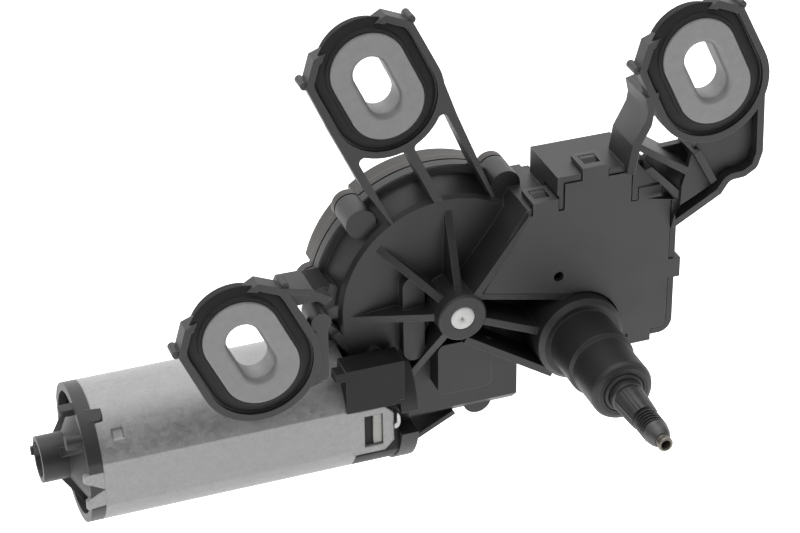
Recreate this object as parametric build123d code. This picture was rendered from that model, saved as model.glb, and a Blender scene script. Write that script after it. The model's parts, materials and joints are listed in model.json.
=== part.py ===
from build123d import *
import math
import os

# A rear wiper motor. The origin is on the wiper spindle's axis, in the plane
# of the shoulder at the foot of the nose. -Y is the way the spindle points,
# X runs along the electric motor and Z is up. All lengths are millimetres.

# Main centres and planes
AXLE_X = -38.5
AXLE_Z = 15.0
WORM_DROP = 36.1
MOTOR_Y = 28.0
MOTOR_Z = AXLE_Z - WORM_DROP
HUB_FRONT = 3.0
DISC_FRONT = 17.5
CASE_REAR = 31.0
WALL = 2.5
FIT = 0.05
SEAT = 0.3

# Gear drum, hub and ribs
DRUM_R_FRONT = 34.7
DRUM_R_REAR = 37.4
FLANGE_R = 39.9
FLANGE_DEPTH = 3.2
RIM_ROUND = 1.2
HUB_R = 7.8
RIB = 2.4
RIB_LIP = 1.0
BULGE_R = 3.5
BULGE_RISE = 4.0
BULGE_X = -50.5
BULGE_Z = (0.0, 22.8)
PANEL_X = (-44.0, -26.2)
PANEL_Z = (-16.2, 2.0)
PANEL_FRONT = 10.0
LOW_RIB = ((-37.3, 6.3), (-8.2, -12.6))
PANEL_ROUND = 2.4

# Wheel chamber and linkage chamber
CHAMBER_R_FRONT = 32.6
CHAMBER_R_REAR = 36.0
LINK_LOBE_R = 10.5
SPINDLE_LOBE_R = 13.5

# Worm wheel, worm and the axle they mesh about
WHEEL_TEETH = 50
WHEEL_MODULE = 1.22
WHEEL_WIDTH = 8.0
WHEEL_WEB = 3.0
WHEEL_HUB_R = 7.0
WHEEL_RIM = 3.2
WHEEL_REAR = 32.2
TOOTH_ADDENDUM = 1.05
TOOTH_DEDENDUM = 1.35
TOOTH_BACKLASH = 0.5
WORM_CORE_R = 4.1
WORM_REACH = 11.0
WORM_TURNS = 4
AXLE_R = 4.0
AXLE_REAR = 32.0

# Linkage from the wheel to the spindle
CRANK = 8.0
CRANK_PIN_R = 3.0
ROD_LENGTH = 34.0
ROD_FRONT = 33.0
ROD_THICK = 3.2
ROD_WIDTH = 8.0
ROD_EYE_R = 6.0
LINK_MODULE = 1.0
PINION_TEETH = 19
SECTOR_TEETH = 21
PINION_WIDTH = 3.6
LINK_BACKLASH = 0.14
GUIDE_GAP = 0.3
GUIDE_THICK = 2.0
GUIDE_R = 6.5
PIVOT_R = 3.0

# Spindle, from its rear end to its tip
SPINDLE_R = 5.0
SPINDLE_REAR = 39.4
COLLAR_R = 5.2
COLLAR_FRONT = -34.5
KNURL_REAR = -35.0
KNURL_R_REAR = 5.1
KNURL_R_FRONT = 4.35
THREAD_REAR = -44.0
THREAD_R = 4.0
THREAD_LENGTH = 9.0
CONE_LENGTH = 5.0
CONE_R_FRONT = 3.0
TIP_R = 2.6
TIP_LENGTH = 2.6
TUBE_R = 2.2
TUBE_BORE_R = 1.5

# Nose
NOSE_R = 14.2
NOSE_ROUND = 1.4
SPIGOT_R = 10.9
SPIGOT_LENGTH = 14.5
SLEEVE_NOSE_R = 9.9
NOSE_FRONT = -31.0
NOSE_END_ROUND = 1.8
BUSH_R = 6.6
BUSH_LENGTH = 14.0
SEAL_R = 7.4
SEAL_DEPTH = 4.0

# Electric motor
CAN_R = 21.75
CAN_FLAT = 20.4
CAN_WALL = 1.6
CAN_X = (-151.6, -72.0)
CAP_RING = 4.5
CAP_WALL = 2.6
CAP_BOSS_R = 7.25
CAP_END = -167.1
CAP_ARM = 3.0
FLANGE_X = (-57.5, -52.0)
FLANGE_NOTCH_Z = (-25.0, -17.0)
FLANGE_NOTCH_REAR = 14.0
SHAFT_R = 2.5
SHAFT_X = (-163.6, -17.6)
SHAFT_BUSH_R = 4.5
SHAFT_BUSH_LENGTH = 5.0
CORE_R = 13.6
CORE_X = (-134.0, -92.0)
SLOT_COUNT = 12
SLOT_WIDTH = 2.2
WINDING_R = 12.4
WINDING_OVERHANG = 6.5
MAGNET_R = 14.4
MAGNET_HALF_DEG = 62
MAGNET_END_GAP = 3.0
COMMUTATOR_R = 7.0
COMMUTATOR_LENGTH = 13.0
COMMUTATOR_X = -84.0
BRUSH_WIDTH = 5.0
BRUSH_LENGTH = 6.5
BLOCK_LEFT = -75.0
BLOCK_OVER = 1.4
BRUSH_BLOCK_Z = (-13.8, 1.4)

# Worm housing below the drum
WORM_BOX_X = (-54.0, -14.6)
WORM_BOX_BOTTOM = -30.0
WORM_BOX_BEVEL = 3.4
WORM_BORE_R = 7.1
WORM_BOX_REAR = 37.6

# Control box
BOX_FRONT = 5.0
BOX_REAR = 33.0
BOX_FLOOR = 22.0
BOX_WALL = 2.0
COVER_THICK = 2.0
COVER_GAP = 0.35
BOARD_FRONT = 12.0
BOARD_THICK = 1.6
BOX_LEFT = (-31.6, 20.9)
BOX_SHOULDER = (-15.8, 45.1)
BLOCK_X = (-5.2, 17.4)
BLOCK_TOP = 54.0
BOX_TOP = 43.6
BOX_RIGHT = 30.9
BOX_BOTTOM = -4.6
BOX_CORNER = 2.6
NOSE_GAP = 0.5
COVER_HOLE_R = 1.7
COVER_HOLE = (-6.3, 21.6)
BLOCK_REAR = 27.0
SOCKET_WALL = 1.5
BOX_NOSE = (6.3, 12.5)

# Screws of the rear cover
SCREW_R = 1.8
SCREW_LENGTH = 12.0
SCREW_HEAD_R = 3.3
SCREW_HEAD = 2.2
LUG_R = 4.8
LUG_FRONT = 20.5
LINK_FLOOR = 3.0
LINK_FRONT = 30.4
LOWER_SCREW = (-26.8, -28.2)
COVER_RIM = 2.8
COVER_DEPTH = 11.4
GASKET = 0.8

# The three mounting ears, seen along the spindle, each with its sleeve's face
EAR_TILT = 25.2
EAR_TOP = (-60.35, 15.0, 91.73)
EAR_RIGHT = (34.3, -7.3, 89.8)
EAR_LEFT = (-110.1, -13.5, 28.8)
SLEEVE_R = 11.7
SLEEVE_HALF = 6.4
SLEEVE_FLANGE = 1.6
SLEEVE_DEPTH = 8.6
SLEEVE_TUBE_R = 8.4
SLOT_R = 5.0
SLOT_HALF = 5.0
SLOT_BEVEL = 1.3
GROMMET_R = 13.2
GROMMET_DEPTH = 8.2
GROMMET_REAR_R = 14.0
GROMMET_INSET = 0.7
HOLDER_INNER_R = 12.4
HOLDER_OUTER = 18.6
HOLDER_FRONT = 1.4
HOLDER_DEPTH = 5.0
FLOOR_FRONT = 2.7
FLOOR_THICK = 2.6
HOLDER_RIM = 2.2
MOUTH_HALF = 7.6
TIP_OUT = (18.2, 11.6)
TIP_BEVEL = (12.2, 18.4)
TIP_IN = (7.6, 18.0)
PEG_R = 1.3
PEG_LENGTH = 6.0
STRUT = 2.7
STRUT_DEPTH = 6.5
STRUT_FOOT = 13.0
WINDOW_ROUND = 1.6

# The right arm: its side walls stand square to the panel and slope back
ARM_WALL = 2.2
ARM_DEPTH = 14.5
ARM_SLOPE_START = (15.5, 77.0)
ARM_SLOPE_ANGLE = 221.0
ARM_SLOPE_RUN = 18.6

# Snap clips of the control cover: middle of each on the wall, turn, half width
CLIPS = ((-11.1, 47.1, 0, 4.1), (5.0, 56.0, 0, 4.2), (23.5, 45.6, 0, 3.9),
         (32.9, 16.5, 90, 3.4), (21.5, -6.6, 180, 3.9))
CLIP_GAP = 0.3
CLIP_THICK = 1.5
CLIP_LENGTH = 9.5
CLIP_LEG = 1.5
CATCH_LENGTH = 3.2

EARS = {"top": EAR_TOP, "right": EAR_RIGHT, "left": EAR_LEFT}


# Values that follow from the sizes above
CENTRE_ANGLE = math.degrees(math.atan2(-AXLE_Z, -AXLE_X))
CENTRES = math.hypot(AXLE_X, AXLE_Z)
PINION_R = LINK_MODULE * PINION_TEETH / 2
SECTOR_R = LINK_MODULE * SECTOR_TEETH / 2
GUIDE_LENGTH = PINION_R + SECTOR_R
WHEEL_R = WHEEL_MODULE * WHEEL_TEETH / 2
WORM_LEAD = math.pi * WHEEL_MODULE
WORM_PITCH_R = WORM_DROP - WHEEL_R
WHEEL_FRONT = WHEEL_REAR - WHEEL_WIDTH
ROD_REAR = ROD_FRONT + ROD_THICK
GUIDE_FRONT = ROD_REAR + GUIDE_GAP
GUIDE_REAR = GUIDE_FRONT + GUIDE_THICK
COVER_INNER = CASE_REAR + GASKET + COVER_DEPTH - WALL
WEB_FRONT = BOARD_FRONT + BOARD_THICK + 2.5
WEB_REAR = WEB_FRONT + 2.0
END_BUSH_X = (WORM_BOX_X[1] - WALL - SHAFT_BUSH_LENGTH - 1.5, WORM_BOX_X[1] - WALL)
WORM_BORE_END = AXLE_X + WORM_LEAD * WORM_TURNS / 2 + 2.3
THREAD_FRONT = THREAD_REAR - THREAD_LENGTH
CONE_FRONT = THREAD_FRONT - CONE_LENGTH
SPINDLE_TIP = CONE_FRONT - TIP_LENGTH


def triangle_angle(side_a, side_b, opposite):
    """Angle between two sides of a triangle, from its three lengths."""
    cosine = (side_a ** 2 + side_b ** 2 - opposite ** 2) / (2 * side_a * side_b)
    return math.degrees(math.acos(cosine))


def polar(angle, radius, centre=(0.0, 0.0)):
    """A point seen along the spindle, from an angle and a radius."""
    turn = math.radians(angle)
    return (centre[0] + radius * math.cos(turn), centre[1] + radius * math.sin(turn))


# The linkage at rest, with crank and rod in one line: the wiper is parked
AXLE = (AXLE_X, AXLE_Z)
REACH = ROD_LENGTH + CRANK
ROD_ANGLE = CENTRE_ANGLE + triangle_angle(CENTRES, REACH, GUIDE_LENGTH)
CRANK_PIN = polar(ROD_ANGLE, CRANK, AXLE)
PIVOT = polar(ROD_ANGLE, REACH, AXLE)
GUIDE_ANGLE = math.degrees(math.atan2(PIVOT[1], PIVOT[0]))


def face_plane(y):
    """The plane seen along the spindle, with its outline in X and Z."""
    return Plane((0, y, 0), x_dir=(1, 0, 0), z_dir=(0, -1, 0))


def slab(outline, front, rear):
    """An outline in X and Z, as thick as from front to rear."""
    return extrude(face_plane(rear) * outline, amount=rear - front)


def disc(centre, radius):
    return Pos(centre[0], centre[1]) * Circle(radius)


def rod_y(centre, radius, front, rear):
    return slab(disc(centre, radius), front, rear)


def pipe_y(centre, outer, inner, front, rear):
    return slab(disc(centre, outer) - disc(centre, inner), front, rear)


def rod_x(radius, left, right, y=MOTOR_Y, z=MOTOR_Z):
    plane = Plane((left, y, z), x_dir=(0, 1, 0), z_dir=(1, 0, 0))
    return extrude(plane * Circle(radius), amount=right - left)


def pipe_x(outer, inner, left, right):
    return rod_x(outer, left, right) - rod_x(inner, left - 1, right + 1)


def span(x, y, z):
    """A box between two values on each axis."""
    size = (x[1] - x[0], y[1] - y[0], z[1] - z[0])
    middle = ((x[0] + x[1]) / 2, (y[0] + y[1]) / 2, (z[0] + z[1]) / 2)
    return Pos(*middle) * Box(*size)


def patch(points):
    """A flat outline through points, for use in the X and Z plane."""
    return make_face(Polyline(*points, close=True))


def grown(points, by):
    """A clockwise outline's corners, each moved out by a distance."""
    moved = []
    for before, here, after in zip(points[-1:] + points, points, points[1:] + points[:1]):
        first = math.atan2(here[1] - before[1], here[0] - before[0])
        second = math.atan2(after[1] - here[1], after[0] - here[0])
        middle = (first + second) / 2 + math.pi / 2
        reach = by / math.cos((second - first) / 2)
        moved.append((here[0] + reach * math.cos(middle), here[1] + reach * math.sin(middle)))
    return moved


def bar(start, end, width):
    """A straight strip between two points of the X and Z plane."""
    length = math.dist(start, end)
    angle = math.degrees(math.atan2(end[1] - start[1], end[0] - start[0]))
    middle = ((start[0] + end[0]) / 2, (start[1] + end[1]) / 2)
    return Pos(*middle) * Rot(0, 0, angle) * Rectangle(length, width)


def stadium(radius, half):
    """A slot outline, long way up, about its centre."""
    return (
        Rectangle(2 * radius, 2 * half)
        + Pos(0, half) * Circle(radius)
        + Pos(0, -half) * Circle(radius)
    )


def sloped(start, angle, profile):
    """A wide prism from pairs of distance along a direction in X and Z, and Y."""
    turn = math.radians(angle)
    plane = Plane(
        (start[0], 0, start[1]), x_dir=(math.cos(turn), 0, math.sin(turn)),
        z_dir=(-math.sin(turn), 0, math.cos(turn)))
    return extrude(plane * patch(profile), amount=100, both=True)


def hull_of(*circles):
    """The outline that a belt round circles would make."""
    edges = []
    for centre, radius in circles:
        edges.extend(disc(centre, radius).edges())
    return make_hull(edges)


def revolve_y(points, centre):
    """A turned shape about an axis along Y, from its radius and Y pairs."""
    outline = make_face(Polyline(*[(radius, y) for radius, y in points], close=True))
    turned = revolve(Plane.XY * outline, axis=Axis.Y)
    return Pos(centre[0], 0, centre[1]) * turned


def chamber_outline(grow=0.0):
    """The linkage chamber: wheel, rod pivot and spindle within one belt."""
    return hull_of(
        (AXLE, CHAMBER_R_REAR + grow),
        (PIVOT, LINK_LOBE_R + grow),
        ((0, 0), SPINDLE_LOBE_R + grow),
    )


def screw_places():
    """The rear cover's screws, round its outline."""
    ring = [polar(angle, FLANGE_R - 1.0, AXLE) for angle in (58, 132, 171)]
    belt = [polar(angle, SPINDLE_LOBE_R + LUG_R) for angle in (-32, -105)]
    return ring + belt + [polar(15, LINK_LOBE_R + LUG_R - 1.0, PIVOT), LOWER_SCREW]


def ribs_on_disc():
    """Ribs that fall away from the hub to the rim of the disc."""
    solids = []
    rim = DRUM_R_FRONT
    for angle, reach in ((136, 0.88), (88.7, 0.86), (184, 0.9), (243.5, 0.94)):
        length = reach * rim
        profile = Polyline(
            (0, HUB_FRONT + RIB_LIP), (0, DISC_FRONT + 1),
            (length, DISC_FRONT + 1), (length, DISC_FRONT),
            close=True)
        web = extrude(make_face(profile), amount=RIB / 2, both=True)
        solids.append(Pos(AXLE_X, 0, AXLE_Z) * Rot(0, -angle, 0) * web)
    return solids


def bridge_ribs():
    """Level ribs from the hub to the nose and along the control box."""
    nose_mid = polar(163, NOSE_R - 1)
    outline = Sketch() + [bar(AXLE, nose_mid, RIB), bar(LOW_RIB[0], LOW_RIB[1], RIB)]
    outline += bar(AXLE, BOX_SHOULDER, RIB) - disc(AXLE, HUB_R - 1)
    return slab(outline, HUB_FRONT + RIB_LIP, DISC_FRONT + 1)


def box_outline(grow=0.0):
    """The control box cover's outline, which stops short of the nose."""
    left, shoulder = BOX_LEFT, BOX_SHOULDER
    points = [
        left, shoulder, (BLOCK_X[0], shoulder[1]), (BLOCK_X[0], BLOCK_TOP),
        (BLOCK_X[1], BLOCK_TOP), (BLOCK_X[1], BOX_TOP), (BOX_RIGHT, BOX_TOP),
        (BOX_RIGHT, BOX_BOTTOM), (0, BOX_BOTTOM), BOX_NOSE,
    ]
    outline = patch(grown(points, grow))
    corners = [v for v in outline.vertices() if v.X > BOX_RIGHT + grow - 1]
    return fillet(corners, BOX_CORNER + grow)


def box_wall():
    """The outer walls and floor of the tray that holds the board."""
    outer = slab(box_outline(BOX_WALL), BOX_FRONT + 0.4, BOX_REAR)
    skirt = slab(box_outline(0), BOX_FLOOR + WALL, BOX_REAR + 1)
    block = (BLOCK_X[0] - 3, BLOCK_X[1] + 3)
    above = span(block, (BLOCK_REAR, BOX_REAR + 1), (BOX_SHOULDER[1] + 1, BLOCK_TOP + 4))
    return outer - skirt - above


def box_room():
    """The space inside the tray, up to the nose."""
    room = slab(box_outline(0), BOX_FRONT - 1, BOX_FLOOR)
    return room - rod_y((0, 0), NOSE_R, BOX_FRONT - 2, BOX_REAR)


def plug_socket():
    """The socket's walls, which the blades come through in front."""
    socket = span(BLOCK_X, (WEB_FRONT, BLOCK_REAR), (BOX_TOP - WALL, BLOCK_TOP))
    for blade in connector_pins():
        socket -= blade
    return socket


def plug_room():
    """The space that the plug goes into, open to the rear."""
    sides = (BLOCK_X[0] + SOCKET_WALL, BLOCK_X[1] - SOCKET_WALL)
    return span(sides, (WEB_REAR, BLOCK_REAR + 9), (BOX_TOP, BLOCK_TOP))


def clip_place(clip):
    """The wall's outer face at a clip, with Z pointing out of the wall."""
    x, z, turn = clip[:3]
    return Pos(x, 0, z) * Rot(0, turn, 0)


def clip_catches():
    """The wedges on the tray's walls that the cover's loops snap over."""
    solids = []
    rear = BOX_FRONT + CLIP_LENGTH - CLIP_LEG - SEAT
    height = CLIP_GAP + CLIP_THICK - 0.1
    for clip in CLIPS:
        half = clip[3] - CLIP_LEG - SEAT
        wedge = span((-half, half), (rear - CATCH_LENGTH, rear), (-0.5, height))
        edge = wedge.edges().filter_by(Axis.X).group_by(Axis.Z)[-1].sort_by(Axis.Y)[0]
        solids.append(clip_place(clip) * chamfer(edge, 1.1, 1.8))
    return solids


def clip_notches():
    """The cuts in the tray's walls and in the arm that the loops go through."""
    solids = []
    for clip in CLIPS:
        half = clip[3] + COVER_GAP
        notch = span(
            (-half, half), (BOX_FRONT - 1, BOX_FRONT + COVER_THICK + COVER_GAP),
            (-BOX_WALL - 1, CLIP_GAP + CLIP_THICK + 1))
        room = span(
            (-half, half), (BOX_FRONT - 1, BOX_FRONT + CLIP_LENGTH + 1),
            (0, CLIP_GAP + CLIP_THICK + 1))
        solids.append(clip_place(clip) * (notch + room))
    return solids


def clip_loops():
    """The cover's loops, each a frame that reaches back over the wall."""
    solids = []
    for clip in CLIPS:
        half = clip[3]
        rear = BOX_FRONT + CLIP_LENGTH
        outer = CLIP_GAP + CLIP_THICK
        tongue = span(
            (-half, half), (BOX_FRONT, BOX_FRONT + COVER_THICK), (-BOX_WALL - 1, outer))
        strap = span((-half, half), (BOX_FRONT, rear), (CLIP_GAP, outer))
        window = span(
            (-half + CLIP_LEG, half - CLIP_LEG),
            (BOX_FRONT + COVER_THICK + 0.6, rear - CLIP_LEG), (0, outer + 1))
        solids.append(clip_place(clip) * (tongue + strap - window))
    return solids


def drum():
    """The gear drum's outer form with the hub, before it is hollowed."""
    flange_front = CASE_REAR - FLANGE_DEPTH
    body = revolve_y(
        [(0, DISC_FRONT), (DRUM_R_FRONT - RIM_ROUND, DISC_FRONT),
         (DRUM_R_FRONT, DISC_FRONT + RIM_ROUND), (DRUM_R_REAR, flange_front),
         (FLANGE_R, flange_front), (FLANGE_R, CASE_REAR), (0, CASE_REAR)],
        AXLE)
    hub = rod_y(AXLE, HUB_R, HUB_FRONT, DISC_FRONT + 1)
    hub = chamfer(hub.edges().group_by(Axis.Y)[0], 0.5)
    return body + hub


def nose():
    """The stepped nose that carries the spindle through the panel."""
    profile = [
        (0, LINK_FRONT), (NOSE_R, LINK_FRONT), (NOSE_R, NOSE_ROUND),
        (NOSE_R - NOSE_ROUND, 0), (SPIGOT_R, 0), (SPIGOT_R, -SPIGOT_LENGTH),
        (SLEEVE_NOSE_R, -SPIGOT_LENGTH - 0.8),
        (SLEEVE_NOSE_R, NOSE_FRONT + NOSE_END_ROUND),
        (SLEEVE_NOSE_R - NOSE_END_ROUND / 3, NOSE_FRONT + NOSE_END_ROUND / 3),
        (SLEEVE_NOSE_R - NOSE_END_ROUND, NOSE_FRONT), (0, NOSE_FRONT),
    ]
    return revolve_y(profile, (0, 0))


def worm_box():
    """The housing of the worm and the flange that the motor bolts to."""
    box = span(WORM_BOX_X, (DISC_FRONT, WORM_BOX_REAR), (WORM_BOX_BOTTOM, AXLE_Z - 20))
    edge = box.edges().filter_by(Axis.X).group_by(Axis.Z)[0].sort_by(Axis.Y)[0]
    box = chamfer(edge, WORM_BOX_BEVEL)
    flange = rod_x(CAN_R + 0.6, *FLANGE_X)
    flange -= span(
        (FLANGE_X[0] - 1, FLANGE_X[1] + 1), (MOTOR_Y - CAN_R - 2, FLANGE_NOTCH_REAR), FLANGE_NOTCH_Z)
    stay = slab(
        bar((-35.2, WORM_BOX_BOTTOM), (FLANGE_X[1] - 1, WORM_BOX_BOTTOM - 9.0), 1.6),
        DISC_FRONT + 1.5, CASE_REAR + 3)
    return box + flange + stay


def ear_outline():
    """Outer edge of an ear: round below, with two bevelled tips above."""
    half = HOLDER_OUTER
    left = [(-TIP_OUT[0], TIP_OUT[1]), (-TIP_BEVEL[0], TIP_BEVEL[1]), (-TIP_IN[0], TIP_IN[1])]
    right = [(-x, z) for x, z in reversed(left)]
    cap = patch([(-half, -SLEEVE_HALF)] + left + right + [(half, -SLEEVE_HALF)])
    return cap + Pos(0, -SLEEVE_HALF) * Circle(half)


def ear_opening(radius=HOLDER_INNER_R, mouth=MOUTH_HALF):
    """The U that the grommet slides into."""
    neck = Pos(0, SLEEVE_HALF + radius) * Rectangle(2 * mouth, 2 * radius)
    return stadium(radius, SLEEVE_HALF) + neck


def place_ear(name, sketch):
    x, _, z = EARS[name]
    return Pos(x, z) * Rot(0, 0, EAR_TILT) * sketch


def ear_holder(name):
    """The rimmed U-shaped plate that holds one grommet."""
    face = EARS[name][1]
    front = face + HOLDER_FRONT
    outline = ear_outline()
    floor = outline - ear_opening()
    inner = offset(outline, -HOLDER_RIM, kind=Kind.INTERSECTION)
    lip_band = Pos(0, TIP_IN[1]) * Rectangle(2 * MOUTH_HALF, 12)
    rim = outline - inner - lip_band - ear_opening(GROMMET_REAR_R + SEAT)
    plate = slab(
        place_ear(name, floor), face + FLOOR_FRONT, face + FLOOR_FRONT + FLOOR_THICK)
    wall = slab(place_ear(name, rim), front, front + HOLDER_DEPTH)
    pegs = Sketch() + [
        Pos(side * TIP_OUT[0], TIP_OUT[1] + 0.6) * Circle(PEG_R) for side in (-1, 1)]
    return plate + wall + slab(place_ear(name, pegs), front + 0.6, front + PEG_LENGTH)


def ear_seat(name, front, rear):
    """The room that an ear's rim and grommet need, which no arm fills."""
    inner = ear_opening() + Pos(0, -SLEEVE_HALF) * Circle(HOLDER_OUTER - 1)
    return slab(place_ear(name, inner), front, rear)


def top_arm():
    """Three struts from the top ear down to the rim of the drum."""
    front = EAR_TOP[1] + HOLDER_FRONT
    side, foot = HOLDER_OUTER, -56.0
    outline = patch([
        (-side, -SLEEVE_HALF), (side - 0.3, -SLEEVE_HALF), (side - 2.0, -24.0),
        (side - 3.7, foot), (-side + 3.4, foot), (-side, -28.0)])
    middle = -0.7
    edges = ((-side + STRUT, middle - STRUT / 2), (middle + STRUT / 2, side - 2.0 - STRUT))
    for left, right in edges:
        window = Pos((left + right) / 2, foot) * Rectangle(right - left, -2 * foot - 24.0)
        window -= Pos(0, -SLEEVE_HALF) * Circle(HOLDER_OUTER)
        top = window.vertices().filter_by(lambda v: v.Y > foot / 2 - 4)
        outline -= fillet(top, WINDOW_ROUND)
    deep = slab(place_ear("top", outline), front, front + STRUT_FOOT)
    # The struts are shallow at the ear and deep where they meet the drum
    behind = sloped(EAR_TOP[::2], EAR_TILT - 90, [
        (0, front + STRUT_DEPTH), (24, front + STRUT_DEPTH), (45, front + STRUT_FOOT),
        (70, front + STRUT_FOOT + 9), (0, front + STRUT_FOOT + 9)])
    over_disc = rod_y(AXLE, DRUM_R_FRONT - 0.8, front - 1, DISC_FRONT)
    return deep - behind - over_disc - ear_seat("top", front - 1, CASE_REAR)


def right_arm():
    """The hollow arm from the control box up to the right ear."""
    front = EAR_RIGHT[1] + HOLDER_FRONT
    outer = [
        (15.3, 84.0), (16.2, 79.5), (15.2, 73.0), (14.0, 66.0), (14.6, BLOCK_TOP - 1),
        (BLOCK_X[1] - 2, BOX_TOP - 2), (BOX_RIGHT - 3, BOX_TOP - 2), (BOX_RIGHT - 1, 31.0),
        (BOX_RIGHT + 0.6, 31.0), (44.6, 50.8), (49.5, 51.0), (53.6, 53.4), (55.2, 58.6),
        (54.4, 84.0), (45.0, 92.0)]
    outline = fillet(patch(outer).vertices().filter_by(lambda v: v.X > 44 and v.Y < 60), 3.0)
    inner = offset(outline, -ARM_WALL, kind=Kind.INTERSECTION)
    walls = slab(outline - inner, front, BOX_REAR)
    struts = Sketch() + [
        bar((14.6, 66.4), (31.0, 55.6), 2.4), bar((20.0, 56.6), (32.0, 44.0), 2.2)]
    gusset = slab(bar((33.6, 62.0), (39.8, 50.6), ARM_WALL), front + 1, BOX_FRONT + 1)
    walls += slab(struts & outline, front + 2, BOX_FRONT + 6)
    # The front and rear edges run back together towards the control box
    run, rear = ARM_SLOPE_RUN, front + ARM_DEPTH
    walls -= sloped(ARM_SLOPE_START, ARM_SLOPE_ANGLE, [
        (0, front - 9), (0, front), (run, BOX_FRONT), (90, BOX_FRONT), (90, front - 9)])
    walls -= sloped(ARM_SLOPE_START, ARM_SLOPE_ANGLE, [
        (-60, rear), (0, rear), (run, BOX_FRONT + ARM_DEPTH), (90, BOX_FRONT + ARM_DEPTH),
        (90, rear + 40), (-60, rear + 40)])
    windows = Sketch() + [
        patch([(18.6, 74.0), (34.0, 66.0), (33.0, 60.5), (26.0, 60.2), (17.4, 65.8)]),
        patch([(17.4, 62.2), (22.6, 58.4), (20.6, 56.9), (17.4, 57.6)])]
    floor = slab(outline - windows, BOX_FRONT, BOX_FRONT + WALL)
    tray = slab(box_outline(0), front - 1, BOX_FLOOR)
    return walls + floor + gusset - tray - ear_seat("right", front - 1, CASE_REAR)


def left_fin():
    """The roof of the left arm, which falls back from the ear to a screw lug."""
    front = EAR_LEFT[1] + HOLDER_FRONT
    line = [(-99.6, 46.6), (-91.0, 44.3), (-84.5, 37.6), (-79.0, 30.4), (-77.6, 24.0)]
    strip = Sketch() + [bar(a, b, 2.0) for a, b in zip(line, line[1:])]
    strip += [disc(place, 1.0) for place in line[1:4]]
    fin = slab(strip, front, CASE_REAR - 3)
    start = line[1]
    fin -= sloped(start, -48.8, [
        (0, front - 9), (0, front), (18.2, 10.0), (24.0, DISC_FRONT), (60, DISC_FRONT),
        (60, front - 9)])
    return fin - sloped(start, -48.8, [
        (-30, -4.0), (-8.5, -4.0), (0, 0), (9.3, 10.5), (18.2, 22.0), (60, 30.0),
        (60, 60), (-30, 60)])


def left_arm():
    """The arm from the drum forward to the left ear, above the motor."""
    front = EAR_LEFT[1] + HOLDER_FRONT
    plate = Sketch() + [
        patch([(-99.6, 47.0), (-90.9, 44.6), (-84.2, 40.2), (-86.4, 38.4), (-89.0, 40.2),
               (-94.2, 40.0), (-100.0, 40.0)]),
        patch([(-94.4, 31.5), (-86.4, 31.5), (-86.2, 14.6), (-88.4, 12.0), (-97.0, 9.5)])]
    web = slab(plate, front + 1.5, front + 4)
    post = rod_y((-88.2, 33.0), 3.1, front + 0.8, front + 10)
    post += slab(Pos(-88.1, 24.0) * stadium(1.9, 9.0), front + 0.8, front + 7)
    stay = slab(bar((-87.4, 32.4), (-72.0, 5.0), 2.2), front + 2, CASE_REAR - 3)
    start = (-87.4, 32.4)
    stay -= sloped(start, -60.7, [
        (-5, front + 2), (2, front + 2), (27, DISC_FRONT + 0.6), (60, DISC_FRONT + 0.6),
        (60, front - 9), (-5, front - 9)])
    stay -= sloped(start, -60.7, [
        (-5, front + 10), (2, front + 10), (29, CASE_REAR - 4), (60, CASE_REAR - 4),
        (60, 60), (-5, 60)])
    seat = ear_seat("left", front - 5, CASE_REAR)
    return left_fin() + stay + web + post - seat


def screw_lugs(front, rear):
    places = Sketch() + [disc(place, LUG_R) for place in screw_places()]
    return slab(places, front, rear)


def disc_details():
    """The raised panel, the long bulge and the small boss on the disc."""
    panel = span(PANEL_X, (PANEL_FRONT, DISC_FRONT + 1), PANEL_Z)
    panel = fillet(panel.edges().filter_by(Axis.Y), PANEL_ROUND)
    bulge_middle = (BULGE_Z[0] + BULGE_Z[1]) / 2
    bulge_half = (BULGE_Z[1] - BULGE_Z[0]) / 2
    bulge = slab(
        Pos(BULGE_X, bulge_middle) * stadium(BULGE_R, bulge_half),
        DISC_FRONT - BULGE_RISE, DISC_FRONT + 1)
    boss = rod_y((-62.3, -0.2), 2.2, DISC_FRONT - 1.2, DISC_FRONT + 1)
    return panel + bulge + boss


def motor_space():
    """The room that the can and the brush holder need beside the drum."""
    return rod_x(CAN_R + SEAT, CAN_X[0], CAN_X[1] + SEAT) + rod_x(
        SHAFT_R + 1, CAN_X[1] - 1, FLANGE_X[1])


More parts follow.
